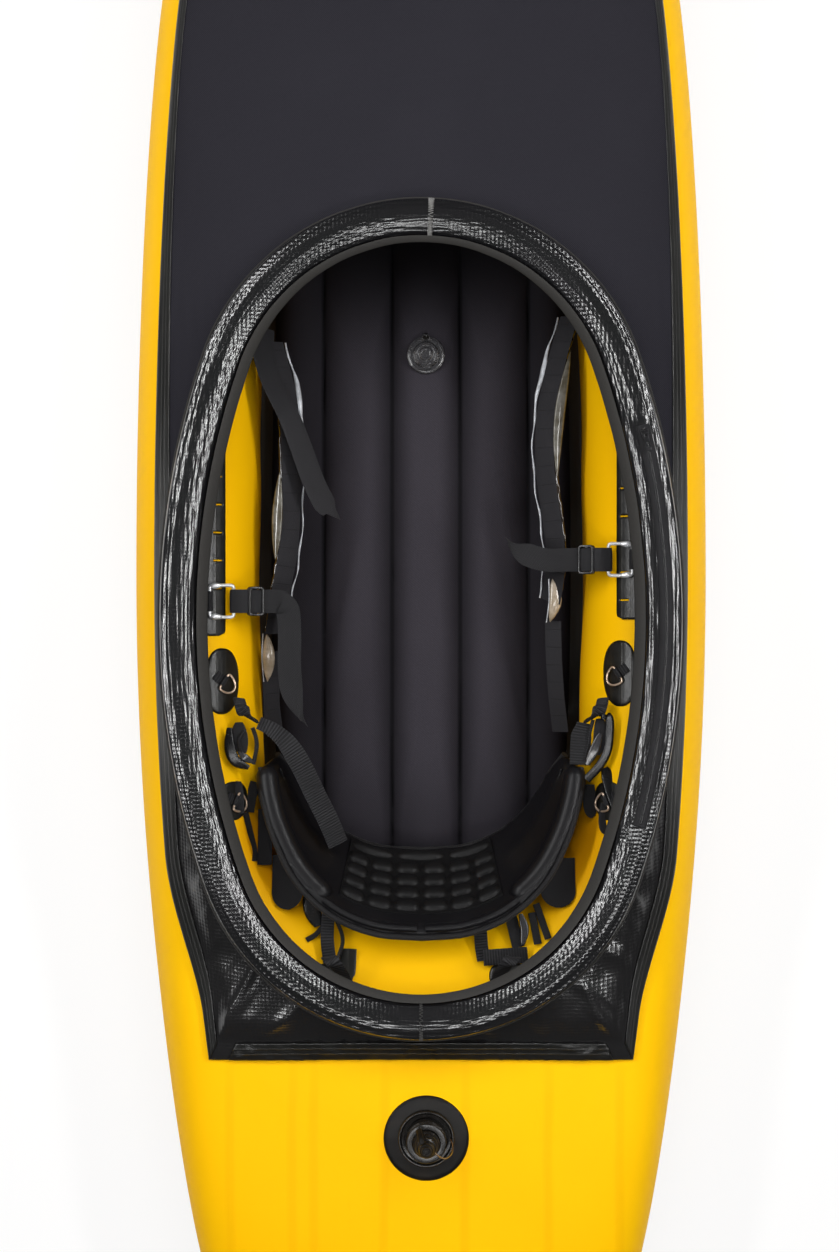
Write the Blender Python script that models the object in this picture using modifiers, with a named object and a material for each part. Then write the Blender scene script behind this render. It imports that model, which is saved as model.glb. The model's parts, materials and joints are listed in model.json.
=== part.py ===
"""A packraft: a small inflatable boat with decks, a cockpit rim and seat fittings.

+X is starboard, +Y the bow and +Z up. The origin is on the ground under the middle. Metres.
"""
import math

import bmesh
import bpy
from mathutils import Matrix, Vector
from mathutils.bvhtree import BVHTree

# Hull
HALF_BEAM = 0.4535
WIDEST_Y = -0.018
BOW_REACH = 1.418
STERN_REACH = 1.382
BOW_TAPER, BOW_FULLNESS = 0.095, 8
STERN_TAPER, STERN_FULLNESS = 0.196, 16
TUBE_WIDTH = 0.195
TUBE_HEIGHT = 0.255
WELL_FRONT, WELL_BACK = 1.02, -0.56
WELL_FRONT_KNEE, WELL_BACK_KNEE = 0.70, -0.30
WELL_CORNER = 2.6
HULL_BASE = 0.003
BOW_ROCKER, STERN_ROCKER = 0.09, 0.04
ROCKER_FRONT, ROCKER_BACK = 0.75, -0.85
HULL_STATIONS = 56
HULL_SECTION_POINTS = 18
HULL_FABRIC = 0.0018
SKIN_THICKNESS = 0.002

# Inflatable floor
FLOOR_BASE, FLOOR_TOP = 0.004, 0.060
FLOOR_CHAMBER = 0.112
FLOOR_BACK, FLOOR_FRONT = -0.49, 0.93
CHANNEL_DEPTH = 0.022

# Decks
DECK_INSET = 0.0425
DECK_REAR_EXTRA = 0.037
DECK_REAR_Y = -0.764
DECK_CLEARANCE = 0.005
DECK_TUCK = -0.004
DECK_HALF_GAP = 0.0008
DECK_STEPS = 6
DECK_FABRIC = 0.0012
TAPE_WIDTH = 0.029
TAPE_THICKNESS = 0.0010
TAPE_LIFT = 0.0045

# Coaming, an oval of four arcs
COAMING_Y = -0.09
OVAL_A, OVAL_B, OVAL_END = 0.366, 0.6045, 0.318
OVAL_SIDE = (OVAL_A**2 + OVAL_B**2 - 2 * OVAL_B * OVAL_END) / (2 * (OVAL_A - OVAL_END))
OVAL_JOIN = math.atan2(OVAL_B - OVAL_END, OVAL_SIDE - OVAL_A)
SLEEVE_Z = 0.322
SLEEVE_HALF_WIDTH, SLEEVE_HALF_HEIGHT = 0.026, 0.017
SLEEVE_FABRIC = 0.0014
SLEEVE_CLEARANCE = 0.003
ROD_RADIUS = 0.006
ZIP_FRONT, ZIP_BACK = 0.29, -0.31
ZIP_HALF_WIDTH = 0.009
ZIP_Z = SLEEVE_Z + SLEEVE_HALF_HEIGHT + 0.0005

# Valves
STERN_VALVE = (0.008, -0.885)
FLOOR_VALVE = (0.008, 0.343)
VALVE_HOLE_RADIUS = 0.018
NECK_STRETCH = 1.6
STERN_PATCH_RADIUS = 0.065
FLOOR_FLANGE_RADIUS = 0.031

# Outfitting
WEBBING = 0.038
NARROW_WEBBING = 0.025
WEBBING_THICKNESS = 0.0016
PATCH_THICKNESS = 0.0012
ANCHOR_LIFT, LOOP_LIFT = 0.0030, 0.0070
RING_WIRE = 0.0017
RING_HALF, RING_REACH = 0.0135, 0.0230
STRAP_RING_WIRE = 0.0021
STRAP_RING_HALF = 0.0245
FRONT_ANCHOR = {"port": (0.307, -0.185), "starboard": (0.307, -0.173)}
MIDDLE_ANCHOR = (0.290, -0.370)
REAR_ANCHOR = (0.135, -0.640)
BAND_HINGE = (0, -0.20, 0.245)
GAP = 0.0004

SIDES = {"port": -1, "starboard": 1}


def clear_scene():
    for item in list(bpy.data.objects):
        bpy.data.objects.remove(item)


def make_collection(name):
    group = bpy.data.collections.new(name)
    bpy.context.scene.collection.children.link(group)
    return group


clear_scene()
PARTS = make_collection("packraft")
CUTTERS = make_collection("cutters")


def material(name, color, roughness, metallic=0.0):
    found = bpy.data.materials.get(name)
    if found:
        return found
    made = bpy.data.materials.new(name)
    made.use_nodes = True
    shader = made.node_tree.nodes["Principled BSDF"]
    shader.inputs["Base Color"].default_value = (*color, 1)
    shader.inputs["Roughness"].default_value = roughness
    shader.inputs["Metallic"].default_value = metallic
    return made


YELLOW = material("yellow_coated_fabric", (0.90, 0.52, 0.004), 0.38)
BLACK_COATED = material("black_coated_fabric", (0.021, 0.021, 0.023), 0.3)
DECK_CLOTH = material("charcoal_deck_cloth", (0.036, 0.035, 0.043), 0.8)
FLOOR_CLOTH = material("charcoal_floor_cloth", (0.040, 0.036, 0.045), 0.7)
SLEEVE_CLOTH = material("glossy_ripstop", (0.030, 0.030, 0.033), 0.25)
BAND_CLOTH = material("matt_edge_band", (0.052, 0.047, 0.042), 0.85)
WEB = material("black_webbing", (0.034, 0.033, 0.036), 0.8)
PAD = material("black_padding", (0.018, 0.018, 0.019), 0.55)
FOAM = material("moulded_foam", (0.016, 0.016, 0.017), 0.6)
PLASTIC = material("black_plastic", (0.018, 0.016, 0.014), 0.4)
RUBBER = material("black_rubber", (0.020, 0.019, 0.018), 0.6)
STEEL = material("steel", (0.62, 0.61, 0.60), 0.25, 1.0)
BRASS = material("antique_brass", (0.50, 0.40, 0.26), 0.3, 1.0)
ALUMINIUM = material("aluminium", (0.70, 0.70, 0.71), 0.35, 1.0)


def add_object(name, data, finish, group=None):
    item = bpy.data.objects.new(name, data)
    (group or PARTS).objects.link(item)
    data.materials.append(finish)
    return item


def mesh_object(name, points, faces, finish, sharp_angle=0.6, group=None):
    """A mesh from computed points, its faces turned outward."""
    shape = bmesh.new()
    corners = [shape.verts.new(point) for point in points]
    for face in faces:
        shape.faces.new([corners[index] for index in face])
    bmesh.ops.recalc_face_normals(shape, faces=shape.faces)
    mesh = bpy.data.meshes.new(name)
    shape.to_mesh(mesh)
    shape.free()
    mesh.shade_smooth()
    mesh.set_sharp_from_angle(angle=sharp_angle)
    return add_object(name, mesh, finish, group)


def grid_faces(rows, columns, closed_rows=False, closed_columns=False):
    faces = []
    for i in range(rows if closed_rows else rows - 1):
        for j in range(columns if closed_columns else columns - 1):
            k, m = (i + 1) % rows, (j + 1) % columns
            faces.append((i * columns + j, k * columns + j, k * columns + m, i * columns + m))
    return faces


def thicken(item, thickness, offset=1.0):
    """Solidify: offset 1 grows outward along the normals, -1 inward."""
    modifier = item.modifiers.new("thickness", "SOLIDIFY")
    modifier.thickness = thickness
    modifier.offset = offset


def bevel(item, width, segments=2):
    modifier = item.modifiers.new("rounded_edges", "BEVEL")
    modifier.width = width
    modifier.segments = segments
    modifier.limit_method = "ANGLE"


def cut(item, cutter):
    cutter.hide_render = True
    cutter.display_type = "WIRE"
    modifier = item.modifiers.new("cut", "BOOLEAN")
    modifier.operation = "DIFFERENCE"
    modifier.object = cutter


def join(item, extra):
    """Fuses a welded or sewn extra into a piece."""
    extra.hide_render = True
    extra.display_type = "WIRE"
    modifier = item.modifiers.new("join", "BOOLEAN")
    modifier.operation = "UNION"
    modifier.object = extra


def turned(name, profile, location, finish, steps=24, direction=(0, 0, 1), group=None):
    """A turned piece: a closed (radius, height) profile, its outer side listed top to bottom."""
    mesh = bpy.data.meshes.new(name)
    points = [(radius, 0, height) for radius, height in profile]
    on_axis = profile[0][0] == 0
    count = len(points)
    edges = [(i, i + 1) for i in range(count - 1)]
    if not on_axis:
        edges.append((count - 1, 0))
    mesh.from_pydata(points, edges, [])
    item = add_object(name, mesh, finish, group)
    item.location = location
    item.rotation_euler = Vector(direction).to_track_quat("Z", "Y").to_euler()
    screw = item.modifiers.new("turn", "SCREW")
    screw.steps = steps
    screw.render_steps = steps
    screw.use_merge_vertices = True
    screw.merge_threshold = 0.00001
    screw.use_smooth_shade = False
    return item


def ring_profile(outer, inner, low, high, chamfer=0.0):
    """The closed profile of a ring with a bore, its outer top edge chamfered."""
    return [(outer - chamfer, high), (outer, high - chamfer), (outer, low), (inner, low), (inner, high)]


def disc_profile(radius, low, high, chamfer=0.0):
    return [(0, high), (radius - chamfer, high), (radius, high - chamfer), (radius, low), (0, low)]


def tube(name, points, radius, finish, closed=False, resolution=2):
    curve = bpy.data.curves.new(name, "CURVE")
    curve.dimensions = "3D"
    spline = curve.splines.new("POLY")
    spline.points.add(len(points) - 1)
    for corner, point in zip(spline.points, points):
        corner.co = (*point, 1)
    spline.use_cyclic_u = closed
    curve.bevel_depth = radius
    curve.bevel_resolution = resolution
    curve.use_fill_caps = not closed
    return add_object(name, curve, finish)


def ribbon(name, path, width, thickness, finish, across=(0, 1, 0), narrow_end=1.0):
    """A flat strap along a path, its width turned towards across, or one direction a point."""
    path = [Vector(point) for point in path]
    count = len(path)
    sides = [Vector(across)] * count if not isinstance(across, list) else [Vector(a) for a in across]
    points = []
    for i, point in enumerate(path):
        along = (path[min(i + 1, count - 1)] - path[max(i - 1, 0)]).normalized()
        wide = (sides[i] - along * sides[i].dot(along)).normalized()
        thick = along.cross(wide)
        half = width / 2 * (narrow_end if i == count - 1 else 1)
        for a, b in ((-1, -1), (1, -1), (1, 1), (-1, 1)):
            points.append(point + wide * a * half + thick * b * thickness / 2)
    faces = grid_faces(count, 4, closed_columns=True)
    faces += [(3, 2, 1, 0), tuple(4 * (count - 1) + k for k in range(4))]
    return mesh_object(name, points, faces, finish)


def smooth_path(points, pieces=4):
    """Points on one smooth curve through the given points."""
    points = [Vector(point) for point in points]
    padded = [2 * points[0] - points[1]] + points + [2 * points[-1] - points[-2]]
    path = []
    for a, b, c, d in zip(padded, padded[1:], padded[2:], padded[3:]):
        for step in range(pieces):
            t = step / pieces
            path.append(
                0.5 * (2 * b + (c - a) * t + (2 * a - 5 * b + 4 * c - d) * t**2 + (3 * b - a - 3 * c + d) * t**3)
            )
    path.append(points[-1])
    return path


def block(name, size, location, finish, group=None):
    shape = bmesh.new()
    bmesh.ops.create_cube(shape, size=1)
    bmesh.ops.scale(shape, vec=Vector(size), verts=shape.verts)
    mesh = bpy.data.meshes.new(name)
    shape.to_mesh(mesh)
    shape.free()
    item = add_object(name, mesh, finish, group)
    item.location = location
    return item


def pivot(name, point, axis, pieces):
    """An empty on a joint's axis, its Z along the axis, that carries the pieces that move with it."""
    place = Matrix.Translation(point) @ Vector(axis).to_track_quat("Z", "Y").to_matrix().to_4x4()
    carrier = bpy.data.objects.new(name, None)
    PARTS.objects.link(carrier)
    carrier.matrix_world = place
    for piece in pieces:
        piece.parent = carrier
        piece.matrix_parent_inverse = place.inverted()
    print(name, [round(value, 5) for value in (*point, *axis)])
    return carrier


# Hull form


def smooth_step(t):
    t = min(max(t, 0), 1)
    return t * t * (3 - 2 * t)


def half_width(y):
    """Half the hull's width at a station."""
    u = y - WIDEST_Y
    if u > 0:
        taper, fullness, reach = BOW_TAPER, BOW_FULLNESS, BOW_REACH
    else:
        taper, fullness, reach = STERN_TAPER, STERN_FULLNESS, STERN_REACH
    t = min(abs(u) / reach, 1)
    return HALF_BEAM * (1 - taper * u * u) * math.sqrt(1 - t**fullness)


def outline_point(angle):
    """A point on the hull's outline: 0 is starboard, 90 degrees the bow."""
    rise = math.sin(angle)
    y = WIDEST_Y + rise * (BOW_REACH if rise > 0 else STERN_REACH)
    return Vector((math.copysign(half_width(y), math.cos(angle)), y))


def well_end(y):
    """The knee, the room beyond it and the sign of the well's end that a station is nearer to."""
    if y > (WELL_FRONT + WELL_BACK) / 2:
        return WELL_FRONT_KNEE, WELL_FRONT - WELL_FRONT_KNEE, 1
    return WELL_BACK_KNEE, WELL_BACK_KNEE - WELL_BACK, -1


def well_half_width(y):
    """Half the width between the side tubes."""
    knee, room, sign = well_end(y)
    beyond = min(max(sign * (y - knee) / room, 0), 1)
    if beyond == 0:
        return half_width(y) - TUBE_WIDTH
    return (half_width(knee) - TUBE_WIDTH) * (1 - beyond**WELL_CORNER) ** (1 / WELL_CORNER)


def well_point(angle):
    """The well's edge where the section that starts at an outline angle meets it."""
    outer = outline_point(angle)
    knee, room, sign = well_end(outer.y)
    if sign * (outer.y - knee) <= 0:
        return Vector((math.copysign(well_half_width(outer.y), outer.x), outer.y))
    knee_angle = math.asin(abs(knee - WIDEST_Y) / (BOW_REACH if sign > 0 else STERN_REACH))
    bend = (math.asin(min(abs(math.sin(angle)), 1)) - knee_angle) / (math.pi / 2 - knee_angle) * math.pi / 2
    across = (half_width(knee) - TUBE_WIDTH) * max(math.cos(bend), 0) ** (2 / WELL_CORNER)
    return Vector((math.copysign(across, outer.x), knee + sign * room * math.sin(bend) ** (2 / WELL_CORNER)))


def tip(y):
    """0 along the straight keel, rising to 1 at either end."""
    if y > ROCKER_FRONT:
        return (y - ROCKER_FRONT) / (WIDEST_Y + BOW_REACH - ROCKER_FRONT)
    if y < ROCKER_BACK:
        return (ROCKER_BACK - y) / (STERN_REACH - WIDEST_Y + ROCKER_BACK)
    return 0


def hull_points():
    points = []
    for i in range(HULL_STATIONS):
        angle = 2 * math.pi * i / HULL_STATIONS
        outer, inner = outline_point(angle), well_point(angle)
        middle, half = (outer + inner) / 2, (outer - inner) / 2
        power = 2 / (2 + 1.3 * smooth_step((2 * half.length - 0.2) / 0.5))
        for j in range(HULL_SECTION_POINTS):
            turn = 2 * math.pi * j / HULL_SECTION_POINTS
            c, s = math.cos(turn), math.sin(turn)
            flat = middle + half * math.copysign(abs(c) ** power, c)
            t = tip(flat.y)
            tall = TUBE_HEIGHT / 2 * (1 - 0.3 * t * t)
            rocker = t * t * (BOW_ROCKER if flat.y > 0 else STERN_ROCKER)
            points.append((flat.x, flat.y, HULL_BASE + rocker + tall * (1 + math.copysign(abs(s) ** power, s))))
    return points


HULL_POINTS = hull_points()
HULL_FACES = grid_faces(HULL_STATIONS, HULL_SECTION_POINTS, True, True)
HULL_TREE = BVHTree.FromPolygons([Vector(point) for point in HULL_POINTS], HULL_FACES)


def hull_top(x, y):
    """The hull's upper surface at a place, or the ground where the well is open."""
    hit = HULL_TREE.ray_cast(Vector((x, y, 1)), Vector((0, 0, -1)))[0]
    return hit.z if hit else 0


def build_hull():
    hull = mesh_object("hull_tube", HULL_POINTS, HULL_FACES, YELLOW, 1.2)
    thicken(hull, HULL_FABRIC, -1)
    x, y = STERN_VALVE
    hole = turned("hull_valve_hole", disc_profile(VALVE_HOLE_RADIUS, -0.03, 0.03), (x, y, hull_top(x, y)), RUBBER,
                  16, group=CUTTERS)
    cut(hull, hole)


def build_bottom_skin():
    """A flat sheet between the lowest lines of the tubes."""
    curve = bpy.data.curves.new("bottom_skin", "CURVE")
    curve.dimensions = "2D"
    curve.fill_mode = "BOTH"
    curve.extrude = SKIN_THICKNESS / 2
    spline = curve.splines.new("POLY")
    stations = [-1.02 + 2.0 * i / 12 for i in range(13)]
    halves = [half_width(y) - TUBE_WIDTH / 2 + 0.015 for y in stations]
    outline = [(half, y) for half, y in zip(halves, stations)]
    outline += [(-half, y) for half, y in zip(reversed(halves), reversed(stations))]
    spline.points.add(len(outline) - 1)
    for corner, (x, y) in zip(spline.points, outline):
        corner.co = (x, y, 0, 1)
    spline.use_cyclic_u = True
    skin = add_object("bottom_skin", curve, BLACK_COATED)
    skin.location.z = SKIN_THICKNESS / 2


def build_floor():
    """Five lengthwise chambers with sewn channels between them, on a flat base."""
    stations = [FLOOR_BACK, -0.475, -0.44, -0.34, -0.1, 0.3, 0.7, 0.84, 0.905, FLOOR_FRONT]
    across = 30
    points = []
    for y in stations:
        half = min(well_half_width(y) - 0.010, 2.32 * FLOOR_CHAMBER)
        end = min(y - FLOOR_BACK, FLOOR_FRONT - y)
        full = math.sqrt(max(1 - max(1 - end / 0.05, 0) ** 2, 0.04))
        for k in range(across + 1):
            x = half * (2 * k / across - 1)
            phase = abs(math.cos(math.pi * x / FLOOR_CHAMBER))
            edge = math.sqrt(max(1 - (abs(x) / (half + 0.0005)) ** 10, 0.02))
            height = (FLOOR_TOP - FLOOR_BASE - CHANNEL_DEPTH * (1 - phase**0.6)) * edge * full
            points.append((x, y, FLOOR_BASE + height))
        for k in range(across + 1):
            points.append((half * (1 - 2 * k / across), y, FLOOR_BASE))
    ring = 2 * (across + 1)
    faces = grid_faces(len(stations), ring, closed_columns=True)
    last = (len(stations) - 1) * ring
    for k in range(across):
        faces.append((k, k + 1, ring - 2 - k, ring - 1 - k))
        faces.append((last + k + 1, last + k, last + ring - 1 - k, last + ring - 2 - k))
    mesh_object("inflatable_floor", points, faces, FLOOR_CLOTH, 0.9)


# Coaming oval


def oval_point(normal_angle, offset=0.0):
    """A point on the coaming's oval, by the direction that its outward normal faces."""
    c, s = math.cos(normal_angle), math.sin(normal_angle)
    if abs(s) < math.sin(OVAL_JOIN):
        centre = Vector((math.copysign(OVAL_SIDE - OVAL_A, -c), 0))
        radius = OVAL_SIDE
    else:
        centre = Vector((0, math.copysign(OVAL_B - OVAL_END, s)))
        radius = OVAL_END
    return centre + (radius + offset) * Vector((c, s)) + Vector((0, COAMING_Y))


def oval_towards(target, offset):
    """The oval's point on the ray from the cockpit's middle towards a target."""
    goal = math.atan2(target.y - COAMING_Y, target.x)
    low, high = goal - 1.2, goal + 1.2
    for _ in range(40):
        middle = (low + high) / 2
        point = oval_point(middle, offset)
        seen = math.atan2(point.y - COAMING_Y, point.x)
        gap = (seen - goal + math.pi) % (2 * math.pi) - math.pi
        if gap > 0:
            high = middle
        else:
            low = middle
    return point


def oval_angles(side_steps=6, end_steps=15):
    join = OVAL_JOIN
    angles = [-join + 2 * join * i / side_steps for i in range(side_steps)]
    angles += [join + (math.pi - 2 * join) * i / end_steps for i in range(end_steps)]
    return angles + [angle + math.pi for angle in angles]


def oval_sweep(name, profile, finish, angles=None, open_profile=False, sharp_angle=0.6):
    """A section of (offset, height) points carried round the oval, or along some of it."""
    whole = angles is None
    stations = angles or oval_angles()
    points = [(*oval_point(angle, o), z) for angle in stations for o, z in profile]
    count = len(profile)
    faces = grid_faces(len(stations), count, whole, not open_profile)
    if not whole:
        last = (len(stations) - 1) * count
        faces += [tuple(range(count)), tuple(last + k for k in range(count))]
    return mesh_object(name, points, faces, finish, sharp_angle)


def circle_profile(o, z, radius, count):
    return [
        (o + radius * math.cos(2 * math.pi * k / count), z + radius * math.sin(2 * math.pi * k / count))
        for k in range(count)
    ]


# Decks


def deck_point(outer, inner, t):
    """The deck between its outer edge and the coaming, tight over the tubes."""
    place = outer.lerp(inner, t)
    start = hull_top(outer.x, outer.y) + DECK_CLEARANCE
    end = SLEEVE_Z - SLEEVE_HALF_HEIGHT - SLEEVE_CLEARANCE
    power = 1 - 0.4 * smooth_step(((inner - outer).length - 0.1) / 0.3)
    height = max(start + (end - start) * t**power, hull_top(place.x, place.y) + DECK_CLEARANCE)
    return Vector((place.x, place.y, height))


def deck_inset(y):
    return DECK_INSET + DECK_REAR_EXTRA * smooth_step((-0.45 - y) / 0.25)


def front_edge():
    """The front deck's outer edge, from starboard round the bow to port."""
    start = math.asin((COAMING_Y + DECK_HALF_GAP - WIDEST_Y) / STERN_REACH)
    edge = []
    count = 36
    for i in range(count + 1):
        angle = start + (math.pi - 2 * start) * i / count
        point = outline_point(angle)
        ahead = outline_point(angle + 0.01) - outline_point(angle - 0.01)
        inward = Vector((-ahead.y, ahead.x)).normalized()
        if i in (0, count):
            inward = Vector((-math.copysign(1, point.x), 0))
        edge.append(point + inward * DECK_INSET)
    return edge


def rear_edge():
    """The rear deck's outer edge, from port round the straight stern edge to starboard."""
    side = []
    count = 11
    first = COAMING_Y - DECK_HALF_GAP
    for i in range(count + 1):
        y = first + (DECK_REAR_Y - first) * i / count
        side.append(Vector((half_width(y) - deck_inset(y), y)))
    corner = side[-1].x
    across = [Vector((corner * (1 - 2 * i / 10), DECK_REAR_Y)) for i in range(1, 10)]
    port = [Vector((-point.x, point.y)) for point in reversed(side)]
    return side + across + port


def build_deck(name, edge, finish):
    points = []
    for outer in edge:
        inner = oval_towards(outer, DECK_TUCK)
        points += [deck_point(outer, inner, (k / DECK_STEPS) ** 1.7) for k in range(DECK_STEPS + 1)]
    deck = mesh_object(name, points, grid_faces(len(edge), DECK_STEPS + 1), finish, 0.9)
    up = sum(polygon.normal.z for polygon in deck.data.polygons) > 0
    thicken(deck, DECK_FABRIC, 1 if up else -1)


def build_tape(name, edge, width, finish):
    """Welded tape that follows the deck along part of its edge."""
    points = []
    for outer in edge:
        inner = oval_towards(outer, DECK_TUCK)
        reach = (inner - outer).length
        for k in range(4):
            points.append(deck_point(outer, inner, width * k / 3 / reach) + Vector((0, 0, TAPE_LIFT)))
    tape = mesh_object(name, points, grid_faces(len(edge), 4), finish, 0.9)
    up = sum(polygon.normal.z for polygon in tape.data.polygons) > 0
    thicken(tape, TAPE_THICKNESS, 1 if up else -1)


def build_decks():
    front, rear = front_edge(), rear_edge()
    build_deck("front_deck", front, DECK_CLOTH)
    build_deck("rear_deck", rear, BLACK_COATED)
    middle = len(front) // 2
    corner = rear.index(min(rear[:len(rear) // 2], key=lambda point: (point.y, -point.x)))
    starboard = [Vector((0.003, front[middle].y))] + front[middle - 1:0:-1] + rear[1:corner + 1]
    port = [Vector((-point.x, point.y)) for point in starboard]
    build_tape("deck_tape_starboard", starboard, TAPE_WIDTH, BLACK_COATED)
    build_tape("deck_tape_port", port, TAPE_WIDTH, BLACK_COATED)
    reach = rear[corner].x - TAPE_WIDTH - 0.003
    hem = [Vector((reach * (1 - 2 * i / 8), DECK_REAR_Y)) for i in range(9)]
    build_tape("rear_hem", hem, TAPE_WIDTH, BLACK_COATED)


# Coaming


def build_coaming():
    count = 10
    section = []
    for k in range(count):
        turn = math.radians(-72 + 324 * k / (count - 1))
        c, s = math.cos(turn), math.sin(turn)
        section.append((SLEEVE_HALF_WIDTH * math.copysign(abs(c) ** 0.77, c),
                        SLEEVE_Z + SLEEVE_HALF_HEIGHT * math.copysign(abs(s) ** 0.77, s)))
    sleeve = oval_sweep("coaming_sleeve", section, SLEEVE_CLOTH, open_profile=True, sharp_angle=0.9)
    upward = max(sleeve.data.polygons, key=lambda face: face.center.z).normal.z > 0
    thicken(sleeve, SLEEVE_FABRIC, -1 if upward else 1)
    inner = [(-0.0268, 0.3310), (-0.0268, 0.3292), (-0.0440, 0.3150), (-0.0452, 0.3164)]
    oval_sweep("coaming_inner_band", inner, BAND_CLOTH)
    oval_sweep("coaming_piping", circle_profile(0.0283, 0.3165, 0.0016, 4), BAND_CLOTH)
    build_coaming_rods()
    build_zip()


def build_coaming_rods():
    """Two half hoops of rod inside the sleeve, joined end to end by ferrules."""
    angles = sorted(angle % (2 * math.pi) for angle in oval_angles())
    trim = 0.001 / OVAL_SIDE
    apart = 0.02
    halves = {"front": (0.0, math.pi), "rear": (math.pi, 2 * math.pi)}
    for half, (start, end) in halves.items():
        run = [start + trim, *(angle for angle in angles if start + apart < angle < end - apart), end - trim]
        tube(f"coaming_rod_{half}", [(*oval_point(angle), SLEEVE_Z) for angle in run],
             ROD_RADIUS, ALUMINIUM, resolution=1)
    for label, side in SIDES.items():
        turned(f"rod_ferrule_{label}", ring_profile(0.0085, ROD_RADIUS + 0.0008, -0.013, 0.013),
               (side * OVAL_A, COAMING_Y, SLEEVE_Z), STEEL, 12, direction=(0, 1, 0))


def build_zip():
    """A zip along the sleeve's starboard side, its slider on an arc about the side arc's centre."""
    steps = 10
    first, last = math.asin(ZIP_BACK / OVAL_SIDE), math.asin(ZIP_FRONT / OVAL_SIDE)
    angles = [first + (last - first) * i / steps for i in range(steps + 1)]
    low, high = ZIP_Z, ZIP_Z + 0.0012
    tape = [(-ZIP_HALF_WIDTH, low), (ZIP_HALF_WIDTH, low), (ZIP_HALF_WIDTH, high),
            (0.0025, high), (0.0025, high + 0.001), (-0.0025, high + 0.001), (-0.0025, high),
            (-ZIP_HALF_WIDTH, high)]
    oval_sweep("zip_tape", tape, WEB, angles)
    angle = last - 0.012
    place = oval_point(angle)
    slider_size = Vector((0.011, 0.014, 0.0030))
    slider_z = high + 0.001 + GAP + slider_size.z / 2
    slider = block("zip_slider", slider_size, (*place, slider_z), STEEL)
    slider.rotation_euler.z = angle
    bevel(slider, 0.0009)
    outline = [(-0.0035, 0.0003), (0.0035, 0.0003), (0.0030, -0.026), (-0.0030, -0.026)]
    radial, tangent = Vector((math.cos(angle), math.sin(angle))), Vector((-math.sin(angle), math.cos(angle)))
    pull_z = slider_z + slider_size.z / 2 + 3 * GAP
    points = [(*(place + radial * a + tangent * b), pull_z + h) for h in (0, 0.0014) for a, b in outline]
    faces = [(0, 1, 2, 3), (4, 5, 6, 7)] + [(k, (k + 1) % 4, 4 + (k + 1) % 4, 4 + k) for k in range(4)]
    pull = mesh_object("zip_pull", points, faces, STEEL)
    swing = pivot("zip_pull_hinge", (*place, pull_z), (-radial.x, -radial.y, 0), [pull])
    arc_centre = (OVAL_A - OVAL_SIDE, COAMING_Y, slider_z)
    pivot("zip_arc_centre", arc_centre, (0, 0, 1), [slider, swing])


# Valves


def draped_disc(name, x, y, radius_x, radius_y, lift, thickness, finish, hole=0.0, power=1.0, around=14):
    """A round or oval patch that lies on the hull, with an optional hole."""
    points, rings = [], 2
    for ring in range(rings + 1):
        for k in range(around):
            turn = 2 * math.pi * k / around
            c, s = math.cos(turn), math.sin(turn)
            t = ring / rings
            reach_x = hole + (radius_x - hole) * t if hole else radius_x * max(t, 0.12)
            reach_y = hole + (radius_y - hole) * t if hole else radius_y * max(t, 0.12)
            px = x + reach_x * math.copysign(abs(c) ** power, c)
            py = y + reach_y * math.copysign(abs(s) ** power, s)
            points.append((px, py, hull_top(px, py) + lift))
    faces = grid_faces(rings + 1, around, closed_columns=True)
    if not hole:
        faces.append(tuple(range(around)))
    patch = mesh_object(name, points, faces, finish, 0.9)
    up = sum(polygon.normal.z for polygon in patch.data.polygons) > 0
    thicken(patch, thickness, 1 if up else -1)
    return patch


def stretched(profile):
    """A profile of the tall neck, its heights drawn out."""
    return [(radius, height * NECK_STRETCH) for radius, height in profile]


def build_stern_valve():
    x, y = STERN_VALVE
    draped_disc("stern_valve_patch", x, y, STERN_PATCH_RADIUS, STERN_PATCH_RADIUS, 0.0008, PATCH_THICKNESS,
                BLACK_COATED, hole=VALVE_HOLE_RADIUS + 0.002, around=24)
    base = max(hull_top(x + a, y + b) for a in (-0.044, 0, 0.044) for b in (-0.044, 0, 0.044)) + 0.0026
    centre = (x, y, base)
    turned("stern_valve_base", [(0.0405, 0.007), (0.0435, 0.0045), (0.0435, 0), (0.0330, 0), (0.0330, 0.0034),
                                (0.0375, 0.0040)], centre, PLASTIC, 28)
    ribs = [(0.0290, 0.020), (0.0304, 0.019), (0.0304, 0.0165), (0.0290, 0.0155), (0.0304, 0.0145),
            (0.0304, 0.0115), (0.0290, 0.0105), (0.0316, 0.0095), (0.0316, 0.001), (0.0215, 0.001),
            (0.0215, 0.020)]
    turned("stern_valve_collar", stretched(ribs), centre, PLASTIC, 18)
    stem = [(0.0105, 0.040), (0.0122, 0.0385), (0.0122, 0.035), (0.0150, 0.034), (0.0150, 0.030),
            (0.0175, 0.029), (0.0175, 0.025), (0.0205, 0.024), (0.0205, 0.002), (0.0165, 0.002),
            (0.0165, 0.022), (0.0080, 0.032), (0.0080, 0.040)]
    turned("stern_valve_stem", stretched(stem), centre, PLASTIC, 16)
    cap = [(0, 0.0485), (0.0092, 0.0485), (0.0104, 0.0475), (0.0104, 0.0405), (0, 0.0405)]
    turned("stern_valve_cap", stretched(cap), centre, RUBBER, 20)
    seat = [(0.0370, 0, 0.0082), (0.0400, -0.0050, 0.0200), (0.0385, -0.0110, 0.0430), (0.0290, -0.0130, 0.0640),
            (0.0190, -0.0080, 0.0705), (0.0128, -0.0020, 0.0712)]
    ribbon("stern_valve_tether", smooth_path([(x + a, y + b, base + h) for a, b, h in seat], 3), 0.004, 0.0012,
           RUBBER)


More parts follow.
